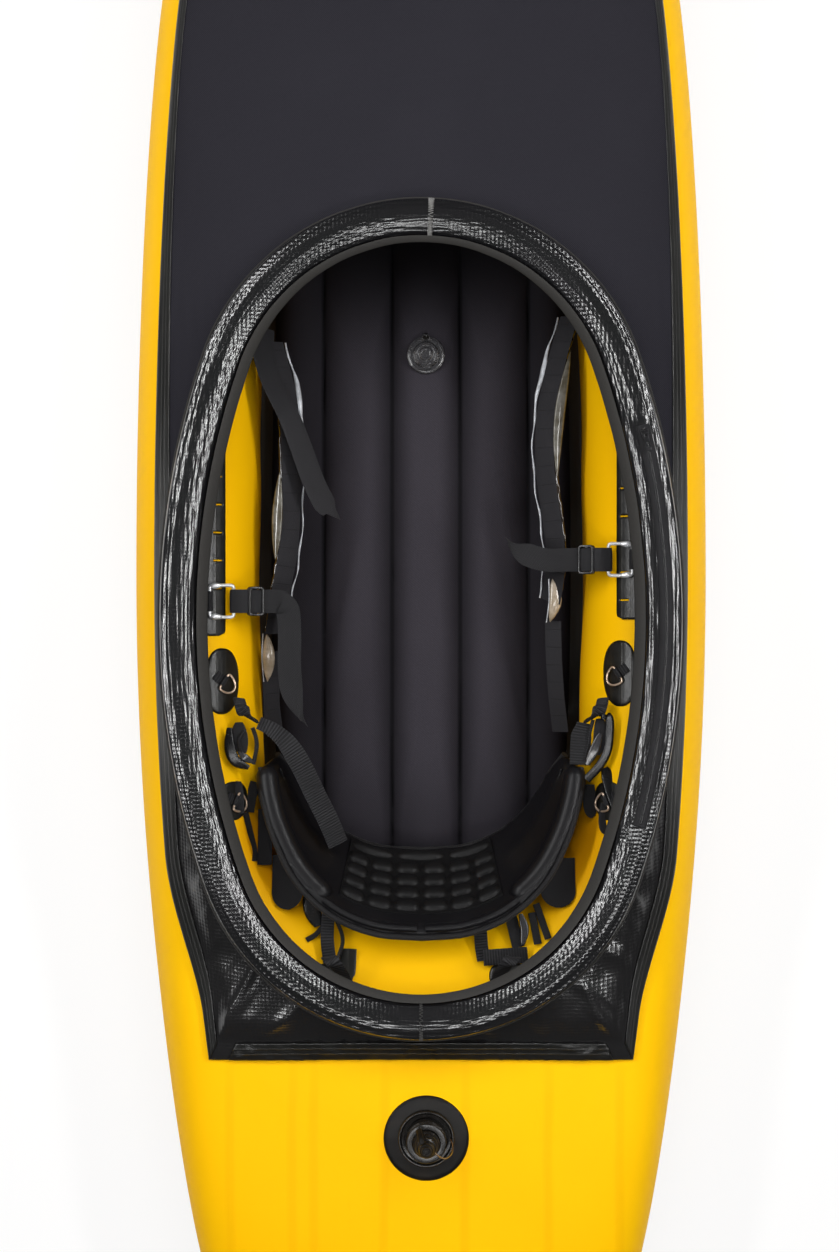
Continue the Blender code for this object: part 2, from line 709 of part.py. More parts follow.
def build_floor_valve():
    x, y = FLOOR_VALVE
    centre = (x, y, FLOOR_TOP + 0.0012)
    turned("floor_valve_base", [(0.0290, 0.005), (FLOOR_FLANGE_RADIUS, 0.003), (FLOOR_FLANGE_RADIUS, 0),
                                (0.0135, 0), (0.0135, 0.009), (0.0165, 0.009), (0.0180, 0.005)],
           centre, PLASTIC, 24)
    turned("floor_valve_flap", disc_profile(0.0128, 0.0020, 0.0032), centre, RUBBER, 20)
    cap_radius = 0.0195
    cap = turned("floor_valve_cap", [(0, 0.0150), (0.0070, 0.0150), (0.0085, 0.0125), (0.0185, 0.0120),
                                     (cap_radius, 0.0110), (cap_radius, 0.0095), (0, 0.0095)],
                 centre, PLASTIC, 28)
    pivot("floor_cap_hinge", (x, y + cap_radius + 0.0012, centre[2] + 0.0107), (-1, 0, 0), [cap])
    path = [(x, y + 0.0235, FLOOR_TOP + 0.0115), (x, y + 0.0280, FLOOR_TOP + 0.0112),
            (x, y + 0.0330, FLOOR_TOP + 0.0085), (x, y + 0.0350, FLOOR_TOP + 0.0025)]
    ribbon("floor_valve_tether", smooth_path(path, 2), 0.008, 0.0014, RUBBER, across=(1, 0, 0))


# Outfitting


def anchor(name, place, side, open_angle, radii):
    """A welded patch with a webbing loop that holds a D-ring, its free side turned by open_angle."""
    x, y = place[0] * side, place[1]
    patch = draped_disc(f"{name}_patch", x, y, *radii, ANCHOR_LIFT, PATCH_THICKNESS, BLACK_COATED, power=0.85)
    slope_x = (hull_top(x + 0.012, y) - hull_top(x - 0.012, y)) / 0.024
    slope_y = (hull_top(x, y + 0.012) - hull_top(x, y - 0.012)) / 0.024
    up = Vector((-slope_x, -slope_y, 1)).normalized()
    middle = Vector((x, y, hull_top(x, y))) + up * LOOP_LIFT
    direction = Vector((math.cos(open_angle) * side, math.sin(open_angle), 0))
    direction = (direction - up * direction.dot(up)).normalized()
    bar = up.cross(direction)
    loop = turned(f"{name}_loop", ring_profile(0.0044, 0.0031, -0.008, 0.008), middle, WEB, 10,
                  direction=bar, group=CUTTERS)
    join(patch, loop)
    if name.startswith("rear"):
        return
    bow, bend_steps = 1.08, 8
    ring = [middle - bar * RING_HALF, middle + bar * RING_HALF]
    for k in range(1, bend_steps):
        turn = math.pi * k / bend_steps
        sideways, away = RING_HALF * bow * math.cos(turn), RING_REACH * math.sin(turn)
        ring.append(middle + bar * sideways + direction * away)
    wire = tube(f"{name}_ring", ring, RING_WIRE, BRASS, closed=True, resolution=1)
    pivot(f"{name}_hinge", middle, -bar, [wire])


def build_anchors():
    for label, side in SIDES.items():
        for name, place, open_angle, radii in (
            ("front_anchor", FRONT_ANCHOR[label], math.radians(212), (0.022, 0.050)),
            ("middle_anchor", MIDDLE_ANCHOR, math.radians(200), (0.020, 0.030)),
            ("rear_anchor", REAR_ANCHOR, math.radians(70), (0.030, 0.022)),
        ):
            anchor(f"{name}_{label}", place, side, open_angle, radii)


def build_daisy_chain(label, side, y_low, y_high):
    """A slotted strip along the crest of a side tube."""
    steps = 8
    centre, half = 0.3225, 0.021
    points = []
    for i in range(steps + 1):
        y = y_low + (y_high - y_low) * i / steps
        for k in range(4):
            x = side * (centre - half + 2 * half * k / 3)
            points.append((x, y, hull_top(x, y) + 0.0032))
    strip = mesh_object(f"daisy_chain_{label}", points, grid_faces(steps + 1, 4), BLACK_COATED, 0.9)
    up = sum(polygon.normal.z for polygon in strip.data.polygons) > 0
    thicken(strip, 0.0014, 1 if up else -1)
    pitch, slot_x = 0.043, side * (centre - 0.010)
    shape = bmesh.new()
    y = y_low + 0.03
    while y < y_high - 0.02:
        place = Matrix.Translation((slot_x, y, 0.25)) @ Matrix.Diagonal((0.013, 0.0026, 0.06, 1))
        bmesh.ops.create_cube(shape, size=1, matrix=place)
        y += pitch
    mesh = bpy.data.meshes.new("slots")
    shape.to_mesh(mesh)
    shape.free()
    cutter = add_object(f"daisy_slots_{label}", mesh, WEB, CUTTERS)
    cut(strip, cutter)
    return strip


def build_strap_ring(label, side, y, strip):
    """A rectangular wire ring with its keeper loop on the daisy chain."""
    outer = Vector((side * 0.324, y, hull_top(side * 0.324, y) + 0.0090))
    inner = Vector((side * 0.2880, y, outer.z - 0.008))
    along = (inner - outer).normalized()
    round_off = 0.004
    points = []
    for end, sign in ((outer, 1), (inner, -1)):
        for lengthwise in (-sign, sign):
            corner = end + Vector((0, lengthwise * STRAP_RING_HALF, 0))
            on_bar = corner - Vector((0, lengthwise * round_off, 0))
            on_side = corner + along * (round_off * sign)
            points += [on_bar, on_side] if lengthwise == sign else [on_side, on_bar]
    ring = tube(f"strap_ring_{label}", points, STRAP_RING_WIRE, STEEL, closed=True, resolution=1)
    keeper = turned(f"strap_ring_loop_{label}", ring_profile(0.0050, 0.0036, -0.015, 0.015), outer, WEB, 10,
                    direction=(0, 1, 0), group=CUTTERS)
    join(strip, keeper)
    return ring, outer, inner


def build_thigh_strap(label, side, y, strip, pad_path, tail, front_tail, lower):
    """A padded strap, its webbing round the metal ring and back through the triglide, and its lower strap."""
    ring, outer, inner = build_strap_ring(label, side, y, strip)
    pad_run = smooth_path([(side * px, py, pz) for px, py, pz in pad_path], 2)
    pad = ribbon(f"thigh_pad_{label}", pad_run, 0.050, 0.009, PAD, across=(side * 0.75, 0, 0.66))
    below, above = inner + Vector((0, 0, -0.0052)), inner + Vector((0, 0, 0.0052))
    out = Vector((side * 0.0052, 0, 0))
    wrap = [below, inner + out * 0.75 + Vector((0, 0, -0.0038)), inner + out,
            inner + out * 0.75 + Vector((0, 0, 0.0038)), above]
    lower_run = [(side * 0.205, y, 0.2140), (side * 0.222, y, 0.2240), (side * 0.245, y, 0.2345),
                 (side * 0.268, y, inner.z - 0.0052)]
    upper_run = [(side * 0.268, y, inner.z + 0.0050), (side * 0.245, y, 0.2460), (side * 0.222, y, 0.2365)]
    path = [Vector(point) for point in lower_run] + wrap + [Vector(point) for point in upper_run]
    level = [Vector((0, 1, 0))] * len(path)
    run = smooth_path([(side * px, py, pz) for px, py, pz in tail], 2)
    for before, after in zip([path[-1]] + run[:-1], run[1:] + run[-1:]):
        ahead = after - before
        level.append(Vector((side * ahead.y, -side * ahead.x, 0)))
    webbing = ribbon(f"thigh_webbing_{label}", path + run, 0.036, WEBBING_THICKNESS, WEB, across=level)
    triglide = build_triglide(label, Vector((side * 0.256, y, 0.2442)), side)
    forward = smooth_path([(side * px, py, pz) for px, py, pz in front_tail], 3)
    front = ribbon(f"thigh_front_webbing_{label}", forward, WEBBING, WEBBING_THICKNESS, WEB,
                   across=(side * 0.85, 0.25, 0.45), narrow_end=0.35)
    down = smooth_path([(side * px, py, pz) for px, py, pz in lower], 3)
    ribbon(f"thigh_lower_webbing_{label}", down, NARROW_WEBBING, WEBBING_THICKNESS, WEB,
           across=(side * 0.9, 0.1, 0.43))
    strap = pivot(f"thigh_strap_hinge_{label}", inner, (0, side, 0), [pad, webbing, triglide, front])
    pivot(f"strap_ring_hinge_{label}", outer, (0, side, 0), [ring, strap])


def build_triglide(label, place, side):
    """A flat frame with a centre bar and two slots for the webbing."""
    curve = bpy.data.curves.new(f"triglide_{label}", "CURVE")
    curve.dimensions = "2D"
    curve.fill_mode = "BOTH"
    curve.extrude = 0.0012
    half_x, half_y = 0.0125, 0.0225
    loops = [(0, 0, half_x, half_y), (-0.0060, 0, 0.0036, 0.0192), (0.0060, 0, 0.0036, 0.0192)]
    for x, y, hx, hy in loops:
        spline = curve.splines.new("POLY")
        spline.points.add(3)
        for corner, (a, b) in zip(spline.points, ((-1, -1), (1, -1), (1, 1), (-1, 1))):
            corner.co = (x + a * hx, y + b * hy, 0, 1)
        spline.use_cyclic_u = True
    item = add_object(f"triglide_{label}", curve, PLASTIC)
    item.location = place
    item.rotation_euler.y = -side * math.atan2(0.009, 0.023)
    return item


def band_path(upper):
    """Half of the back band's upper or lower edge, from its middle to its starboard tip."""
    if upper:
        return [(0, -0.572, 0.292), (0.070, -0.566, 0.290), (0.135, -0.540, 0.284), (0.188, -0.492, 0.276),
                (0.222, -0.430, 0.266), (0.240, -0.370, 0.256), (0.246, -0.318, 0.240)]
    return [(0, -0.462, 0.100), (0.062, -0.458, 0.100), (0.115, -0.440, 0.103), (0.158, -0.408, 0.112),
            (0.188, -0.368, 0.128), (0.208, -0.330, 0.150), (0.226, -0.302, 0.178)]


def build_back_band():
    """A padded U behind the paddler, thick along its rolled border."""
    upper, lower = smooth_path(band_path(True), 2), smooth_path(band_path(False), 2)
    count = len(upper)
    points = []
    rows = 4
    for i in range(-(count - 1), count):
        side = -1 if i < 0 else 1
        top, bottom = upper[abs(i)].copy(), lower[abs(i)].copy()
        top.x *= side
        bottom.x *= side
        outward = Vector((top.x, top.y + 0.25, 0)).normalized()
        tilt = (top - bottom).normalized()
        outward = (outward - tilt * outward.dot(tilt)).normalized()
        for k in range(rows + 1):
            t = k / rows
            half = 0.0095 + 0.0035 * math.sin(math.pi * t)
            points.append(bottom.lerp(top, t) - outward * half)
        for k in range(rows, -1, -1):
            t = k / rows
            half = 0.0095 + 0.0035 * math.sin(math.pi * t)
            points.append(bottom.lerp(top, t) + outward * half)
    ring = 2 * (rows + 1)
    stations = 2 * count - 1
    faces = grid_faces(stations, ring, closed_columns=True)
    last = (stations - 1) * ring
    for k in range(rows):
        faces.append((k, k + 1, ring - 2 - k, ring - 1 - k))
        faces.append((last + k + 1, last + k, last + ring - 1 - k, last + ring - 2 - k))
    band = mesh_object("back_band", points, faces, PAD, 0.9)
    pivot("back_band_hinge", BAND_HINGE, (-1, 0, 0), [band, build_band_pad(upper, lower), *build_band_straps()])


def build_band_pad(upper, lower):
    """A moulded foam pad with rows of oval bumps on the band's front."""
    columns, rows = 6, 5
    reach = 4
    points, edge = [], []
    for side in (-1, 1):
        order = range(reach, -1, -1) if side == -1 else range(1, reach + 1)
        for i in order:
            edge.append((Vector((side * upper[i].x, upper[i].y, upper[i].z)),
                         Vector((side * lower[i].x, lower[i].y, lower[i].z))))
    wide, tall = 2 * columns + 1, 2 * rows + 1
    for layer in (0, 1):
        for i in range(wide):
            t = i / (wide - 1) * (len(edge) - 1)
            k = min(int(t), len(edge) - 2)
            top = edge[k][0].lerp(edge[k + 1][0], t - k)
            bottom = edge[k][1].lerp(edge[k + 1][1], t - k)
            outward = Vector((top.x, top.y + 0.25, 0)).normalized()
            tilt = (top - bottom).normalized()
            outward = (outward - tilt * outward.dot(tilt)).normalized()
            for j in range(tall):
                s = 0.10 + 0.72 * j / (tall - 1)
                bump = 0.009 if i % 2 and j % 2 else 0.0035
                away = 0.0150 + (bump if layer else 0)
                points.append(bottom.lerp(top, s) - outward * away)
    faces = []
    size = wide * tall
    for i in range(wide - 1):
        for j in range(tall - 1):
            a, b, c, d = i * tall + j, (i + 1) * tall + j, (i + 1) * tall + j + 1, i * tall + j + 1
            faces += [(a, b, c, d), (size + a, size + d, size + c, size + b)]
    rim = [i * tall for i in range(wide)] + [(wide - 1) * tall + j for j in range(1, tall)]
    rim += [i * tall + tall - 1 for i in range(wide - 2, -1, -1)] + [j for j in range(tall - 2, 0, -1)]
    for a, b in zip(rim, rim[1:] + rim[:1]):
        faces.append((a, size + a, size + b, b))
    return mesh_object("back_band_pad", points, faces, FOAM, 0.4)


def build_band_straps():
    """The band's hooks and side webbing, which move with it, and the fixed rear straps."""
    moving = []
    side_runs = {
        "port": [(0.2485, -0.2500, 0.2440), (0.2300, -0.2590, 0.2430), (0.2080, -0.2790, 0.2390),
                 (0.1860, -0.3140, 0.2350), (0.1640, -0.3600, 0.2290), (0.1430, -0.4040, 0.2190),
                 (0.1290, -0.4400, 0.2080)],
        "starboard": [(0.2485, -0.2500, 0.2440), (0.2470, -0.2660, 0.2445), (0.2455, -0.2900, 0.2430),
                      (0.2450, -0.3140, 0.2415)],
    }
    for label, side in SIDES.items():
        hook = [(0.2800, -0.2120, 0.2480), (0.2755, -0.2240, 0.2590), (0.2690, -0.2340, 0.2600),
                (0.2615, -0.2410, 0.2540), (0.2535, -0.2460, 0.2470)]
        points = [(side * x, y, z) for x, y, z in hook]
        moving.append(ribbon(f"band_hook_{label}", smooth_path(points, 2), 0.020, 0.004, PLASTIC,
                             across=(side, 0.6, 0)))
        points = [(side * x, y, z) for x, y, z in side_runs[label]]
        moving.append(ribbon(f"band_webbing_{label}", smooth_path(points, 3), NARROW_WEBBING,
                             WEBBING_THICKNESS, WEB, across=(side * 0.6, 0.35, 0.7)))
        rear = [(0.1390, -0.6080, 0.2780), (0.1410, -0.6020, 0.2960), (0.1300, -0.6100, 0.3010),
                (0.1200, -0.6300, 0.2820), (0.1130, -0.6520, 0.2660)]
        points = [(side * x, y, z) for x, y, z in rear]
        ribbon(f"rear_strap_{label}", smooth_path(points, 3), 0.020, WEBBING_THICKNESS, WEB,
               across=(side, 0, 0))
    return moving


def build_outfitting():
    build_anchors()
    port_chain = build_daisy_chain("port", -1, -0.115, 0.205)
    starboard_chain = build_daisy_chain("starboard", 1, -0.090, 0.280)
    build_thigh_strap(
        "port", -1, -0.062, port_chain,
        [(0.234, 0.345, 0.172), (0.212, 0.260, 0.186), (0.206, 0.180, 0.194), (0.205, 0.100, 0.194),
         (0.210, 0.020, 0.190), (0.222, -0.045, 0.184), (0.233, -0.110, 0.168)],
        [(0.2145, -0.0655, 0.2335), (0.2071, -0.0730, 0.2330), (0.2042, -0.0850, 0.2330),
         (0.2030, -0.1210, 0.2330), (0.2035, -0.1600, 0.2330), (0.2000, -0.1990, 0.2330),
         (0.1910, -0.2290, 0.2330), (0.1810, -0.2500, 0.2325)],
        [(0.246, 0.365, 0.205), (0.244, 0.320, 0.222), (0.229, 0.274, 0.228), (0.205, 0.226, 0.227),
         (0.187, 0.180, 0.224), (0.165, 0.120, 0.216), (0.140, 0.072, 0.204)],
        [(0.236, -0.140, 0.160), (0.238, -0.180, 0.150), (0.238, -0.230, 0.135), (0.234, -0.275, 0.115)],
    )
    build_thigh_strap(
        "starboard", 1, 0.002, starboard_chain,
        [(0.236, 0.385, 0.172), (0.214, 0.310, 0.186), (0.198, 0.230, 0.194), (0.196, 0.150, 0.194),
         (0.206, 0.075, 0.190), (0.214, 0.005, 0.184), (0.207, -0.060, 0.168)],
        [(0.196, 0.002, 0.226), (0.172, 0.008, 0.222), (0.150, 0.018, 0.218), (0.134, 0.032, 0.214)],
        [(0.240, 0.420, 0.205), (0.238, 0.460, 0.212), (0.228, 0.510, 0.208), (0.216, 0.560, 0.196)],
        [(0.209, -0.092, 0.160), (0.211, -0.150, 0.150), (0.216, -0.210, 0.135), (0.224, -0.270, 0.115)],
    )
    build_back_band()


build_hull()
build_bottom_skin()
build_floor()
build_decks()
build_coaming()
build_stern_valve()
build_floor_valve()
build_outfitting()
bpy.context.view_layer.update()
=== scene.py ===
"""The looks of a packraft: coated tubes, cloth decks, a wrinkled coaming, padding, webbing and fittings.

+X is starboard, +Y the bow and +Z up. Metres, but what metres() and neck() read is in millimetres. Runs of
points that both sides share are written for starboard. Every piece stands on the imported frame.
"""
import json
import math

import bmesh
import bpy
import numpy as np
from mathutils import Matrix, Vector, noise
from mathutils.bvhtree import BVHTree


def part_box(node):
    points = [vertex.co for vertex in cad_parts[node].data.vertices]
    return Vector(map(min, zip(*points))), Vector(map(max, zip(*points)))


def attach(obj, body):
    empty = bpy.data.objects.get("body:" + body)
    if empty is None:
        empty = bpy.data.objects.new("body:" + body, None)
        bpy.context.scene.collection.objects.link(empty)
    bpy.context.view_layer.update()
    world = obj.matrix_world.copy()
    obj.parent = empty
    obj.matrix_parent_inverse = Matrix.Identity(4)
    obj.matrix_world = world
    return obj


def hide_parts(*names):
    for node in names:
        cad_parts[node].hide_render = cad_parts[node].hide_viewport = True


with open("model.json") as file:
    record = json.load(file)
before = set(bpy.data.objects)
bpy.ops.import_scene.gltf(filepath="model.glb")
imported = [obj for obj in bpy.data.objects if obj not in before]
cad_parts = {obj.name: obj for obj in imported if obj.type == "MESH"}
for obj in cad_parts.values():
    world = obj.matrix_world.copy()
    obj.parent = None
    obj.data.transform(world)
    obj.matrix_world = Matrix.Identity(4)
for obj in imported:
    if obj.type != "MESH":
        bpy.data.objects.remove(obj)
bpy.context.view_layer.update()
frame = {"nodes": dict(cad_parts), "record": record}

# Hull form, as in the frame
HALF_BEAM = 0.4535
WIDEST_Y = -0.018
BOW_REACH, STERN_REACH = 1.418, 1.382
BOW_TAPER, BOW_FULLNESS = 0.095, 8
STERN_TAPER, STERN_FULLNESS = 0.196, 16
TUBE_WIDTH, TUBE_HEIGHT = 0.195, 0.255
WELL_FRONT, WELL_BACK = 1.02, -0.56
WELL_FRONT_KNEE, WELL_BACK_KNEE = 0.70, -0.30
WELL_CORNER = 2.6
HULL_BASE = 0.003
BOW_ROCKER, STERN_ROCKER = 0.09, 0.04
ROCKER_FRONT, ROCKER_BACK = 0.75, -0.85
HULL_STATIONS, HULL_SECTION_POINTS = 336, 72

# Floor, its chambers a little off the centre line
FLOOR_BASE, FLOOR_TOP = 0.004, 0.060
FLOOR_CHAMBER, CHANNEL_DEPTH, FLOOR_SHIFT = 0.112, 0.022, 0.0085
FLOOR_BACK, FLOOR_FRONT = -0.49, 0.93

# Decks
REAR_EDGE_STEPS = 90
DECK_INSET, DECK_REAR_EXTRA, DECK_REAR_Y = 0.0425, 0.037, -0.764
DECK_CLEARANCE, DECK_TUCK, DECK_HALF_GAP = 0.005, -0.004, 0.0008
TAPE_WIDTH, TAPE_LIFT = 0.029, 0.0028

# Coaming, an oval of four arcs
COAMING_Y = -0.09
OVAL_A, OVAL_B, OVAL_END = 0.366, 0.6045, 0.318
OVAL_SIDE = (OVAL_A**2 + OVAL_B**2 - 2 * OVAL_B * OVAL_END) / (2 * (OVAL_A - OVAL_END))
OVAL_JOIN = math.atan2(OVAL_B - OVAL_END, OVAL_SIDE - OVAL_A)
SLEEVE_Z = 0.322
SLEEVE_HALF_WIDTH, SLEEVE_HALF_HEIGHT = 0.026, 0.017
SLEEVE_CREST, SLEEVE_LEAN, SLEEVE_INNER = 0.012, 0.0080, 0.031
SLEEVE_CLEARANCE = 0.003
ZIP_BACK, ZIP_FRONT = (math.asin(y / OVAL_SIDE) for y in (-0.31, 0.29))

# Valves, the neck drawn taller than a plain one
STERN_VALVE = (0.008, -0.885)
FLOOR_VALVE = (0.008, 0.343)
NECK_STRETCH = 1.6

# Webbing ribs, and how far the back band's blocks reach to each side
RIB_PITCH = 0.0042
BUMP_REACH = 1 / 3

# The photograph's camera
CAMERA_PLACE = (-0.0016, -0.100, 3.2)
CAMERA_LENS = 55.2

SIDES = {"port": -1, "starboard": 1}


# Node arithmetic


class Field:
    """A number that varies over a surface, joined up from nodes with ordinary arithmetic."""

    def __init__(self, tree, socket):
        self.tree, self.socket = tree, socket

    def math(self, operation, *values):
        """A math node over fields and numbers."""
        node = self.tree.nodes.new("ShaderNodeMath")
        node.operation = operation
        for socket, value in zip(node.inputs, values):
            if isinstance(value, Field):
                self.tree.links.new(value.socket, socket)
            else:
                socket.default_value = value
        return Field(self.tree, node.outputs[0])

    def wave(self, pitch):
        """A sine of the given pitch, from 0 to 1."""
        turn = self.math("MULTIPLY_ADD", self, 2 * math.pi / pitch, 0)
        return self.math("MULTIPLY_ADD", self.math("SINE", turn), 0.5, 0.5)

    def ramp(self, low, high):
        """0 below low and 1 above high, or the other way round, smoothly between them."""
        node = self.tree.nodes.new("ShaderNodeMapRange")
        node.interpolation_type = "SMOOTHSTEP"
        rising = low < high
        node.inputs["From Min"].default_value = min(low, high)
        node.inputs["From Max"].default_value = max(low, high)
        node.inputs["To Min"].default_value = 0 if rising else 1
        node.inputs["To Max"].default_value = 1 if rising else 0
        self.tree.links.new(self.socket, node.inputs["Value"])
        return Field(self.tree, node.outputs["Result"])

    def line(self, place, half_width, soft):
        """1 on a line at place, 0 away from it."""
        return (self - place).absolute().ramp(half_width + soft, half_width)


def joined_by(operation):
    return lambda field, *others: field.math(operation, field, *others)


for method, operation in {
    "__add__": "ADD", "__radd__": "ADD", "__mul__": "MULTIPLY", "__rmul__": "MULTIPLY", "__sub__": "SUBTRACT",
    "__truediv__": "DIVIDE", "power": "POWER", "most": "MAXIMUM", "absolute": "ABSOLUTE", "floor": "FLOOR",
    "fract": "FRACT",
}.items():
    setattr(Field, method, joined_by(operation))


class Finish:
    """A material being made: its shader, and the fields that drive it."""

    def __init__(self, name, roughness=0.5, metallic=0.0, specular=0.5, sheen=0.0, coat=0.0,
                 coat_roughness=0.2):
        self.material = bpy.data.materials.new(name)
        self.material.use_nodes = True
        self.tree = self.material.node_tree
        self.shader = self.tree.nodes["Principled BSDF"]
        self.coordinates = {}
        for socket, value in {
            "Roughness": roughness, "Metallic": metallic, "Specular IOR Level": specular,
            "Sheen Weight": sheen, "Sheen Roughness": 0.4,
            "Coat Weight": coat, "Coat Roughness": coat_roughness,
        }.items():
            self.shader.inputs[socket].default_value = value

    def node(self, kind, **values):
        """A new node, with numbers on its inputs."""
        node = self.tree.nodes.new(f"ShaderNode{kind}")
        for socket, value in values.items():
            node.inputs[socket].default_value = value
        return node

    def vector(self, source):
        """Object coordinates, which are the frame's own, or the surface's own lengths in metres."""
        if source not in self.coordinates:
            if source == "surface":
                node = self.node("UVMap")
                node.uv_map = "metres"
                self.coordinates[source] = node.outputs["UV"]
            else:
                self.coordinates[source] = self.node("TexCoord").outputs["Object"]
        return self.coordinates[source]

    def place(self, source="object"):
        split = self.node("SeparateXYZ")
        self.tree.links.new(self.vector(source), split.inputs[0])
        return [Field(self.tree, output) for output in split.outputs]

    def texture(self, texture, stretch=(1, 1, 1), source="object"):
        """A texture laid over the surface, its coordinates multiplied by stretch."""
        mapping = self.node("Mapping", Scale=stretch)
        self.tree.links.new(self.vector(source), mapping.inputs["Vector"])
        self.tree.links.new(mapping.outputs[0], texture.inputs["Vector"])
        return Field(self.tree, texture.outputs[0])

    def noise(self, scale, detail=2.0, stretch=(1, 1, 1), source="object", roughness=0.5):
        texture = self.node("TexNoise", Scale=scale, Detail=detail, Roughness=roughness)
        return self.texture(texture, stretch, source)

    def cells(self, scale):
        return self.texture(self.node("TexVoronoi", Scale=scale))

    def colors(self, first, *layers):
        """A base colour, then (field, colour) layers laid over it."""
        below = None
        for field, color in layers:
            mix = self.node("Mix")
            mix.data_type = "RGBA"
            under, over = (socket for socket in mix.inputs if socket.type == "RGBA")
            if below is None:
                under.default_value = (*first, 1)
            else:
                self.tree.links.new(below, under)
            over.default_value = (*color, 1)
            self.tree.links.new(field.socket, mix.inputs["Factor"])
            below = next(output for output in mix.outputs if output.type == "RGBA")
        self.tree.links.new(below, self.shader.inputs["Base Color"])

    def drive(self, name, field):
        self.tree.links.new(field.socket, self.shader.inputs[name])

    def relief(self, height):
        """Bump from a height field in metres."""
        node = self.node("Bump", Strength=1, Distance=1)
        self.tree.links.new(height.socket, node.inputs["Height"])
        self.tree.links.new(node.outputs[0], self.shader.inputs["Normal"])
        if self.shader.inputs["Coat Weight"].default_value > 0:
            self.tree.links.new(node.outputs[0], self.shader.inputs["Coat Normal"])


# Finishes

PANEL_LINES = (-0.283, -0.187, -0.154, -0.046, 0.081, 0.209, 0.317)


def yellow_coated():
    """Coated hull cloth, with faint welded panels along the stern, painted shade low down inside the tubes
    and a painted shadow behind the back band.
    """
    made = Finish("yellow_coated_cloth", 0.5, specular=0.05)
    cloudy = made.noise(2.2, 3)
    fine = made.noise(60, 2)
    scuffs = made.noise(14, 5, stretch=(6, 1, 1), roughness=0.7).ramp(0.62, 0.80)
    x, y, z = made.place()
    sway = made.noise(3.0, 2) * 0.02
    panels = None
    for place in PANEL_LINES:
        line = (x + sway).line(place, 0.002, 0.009)
        panels = line if panels is None else panels.most(line)
    panels = panels * y.ramp(-0.72, -0.84) * z.ramp(0.20, 0.24)
    # Painted shade: the tubes' inner sides turn brown low down, where little light reaches
    low = z.ramp(0.20, 0.08) * x.absolute().ramp(0.40, 0.34)
    # Painted shadow: the hull goes dark orange-brown in the gap behind and under the back band
    painted_band_shadow = y.ramp(-0.33, -0.42) * y.ramp(-0.60, -0.50) * z.ramp(0.250, 0.215)
    painted_band_shadow = painted_band_shadow * x.absolute().ramp(0.10, 0.20) * x.absolute().ramp(0.35, 0.33)
    made.colors((0.885, 0.472, 0.0012), (cloudy.ramp(0.35, 0.7), (0.905, 0.500, 0.0015)),
                (scuffs * 0.3, (0.840, 0.410, 0.0012)), (panels * 0.28, (0.780, 0.350, 0.001)),
                (low * 0.55, (0.560, 0.200, 0.001)), (painted_band_shadow * 0.62, (0.420, 0.110, 0.001)))
    made.drive("Roughness", 0.46 + fine * 0.10 + scuffs * 0.12)
    made.relief(fine * 0.00018 + cloudy * 0.0010 + panels * 0.0006
                + (x + y).wave(0.0032) * (x - y).wave(0.0032) * 0.000012)
    return made.material


def twill(name, dark, light, pitch=0.0030, painted_shade=False):
    """A matt cloth with fine diagonal ribs and, where asked, painted shade on the floor: in and beside its
    sewn channels, over its outer chambers, under the front deck and under the back band.
    """
    made = Finish(name, 0.82, specular=0.08)
    x, y, z = made.place()
    rib = (x + y * 0.92 + z * 0.3).wave(pitch)
    thread = (x - y * 0.92).wave(pitch * 0.61)
    grain = made.noise(420, 2)
    cloudy = made.noise(5, 4)
    layers = [((rib * 0.55 + grain * 0.45).ramp(0.25, 0.85), light), (cloudy.ramp(0.45, 0.8) * 0.25, light)]
    if painted_shade:
        # Painted shade in one dark colour: crease in and beside the sewn channels, outer over the outer
        # chambers, and the shade under the front deck and the back band
        away = (((x - FLOOR_SHIFT) / FLOOR_CHAMBER).fract() - 0.5).absolute()
        crease = away.ramp(0.100, 0.0).most(away.ramp(0.36, 0.0) * 0.6)
        outer = x.absolute().ramp(0.098, 0.176) * 0.62
        painted_deck_shade = y.ramp(0.30, 0.56) * 0.93
        painted_band_shadow = y.ramp(-0.28, -0.44) * 0.38
        layers.append((crease.most(painted_deck_shade).most(outer).most(painted_band_shadow), (0.0042, 0.0039, 0.0048)))
    made.colors(dark, *layers)
    made.drive("Roughness", 0.76 + grain * 0.14)
    made.relief(rib * 0.00010 + thread * 0.00003 + grain * 0.00010 + cloudy * 0.0008)
    return made.material


def ripstop():
    """A black coated cloth whose crossed threads break up its gloss."""
    made = Finish("glossy_ripstop", 0.24, specular=0.9)
    x, y, z = made.place()
    pitch = 0.0062
    along_x = (y + z * 0.4).wave(pitch).power(2)
    along_y = (x + z * 0.4).wave(pitch).power(2)
    fine = made.noise(300, 2)
    cloudy = made.noise(16, 4, roughness=0.6)
    made.colors((0.0060, 0.0058, 0.0062), (along_x.most(along_y) * 0.5, (0.0120, 0.0115, 0.0118)),
                (cloudy.ramp(0.5, 0.8) * 0.4, (0.0120, 0.0108, 0.0105)))
    made.drive("Roughness", 0.16 + fine * 0.08 + cloudy * 0.06)
    made.relief(along_x * 0.00009 + along_y * 0.00009 + fine * 0.00003 + cloudy * 0.0012)
    return made.material


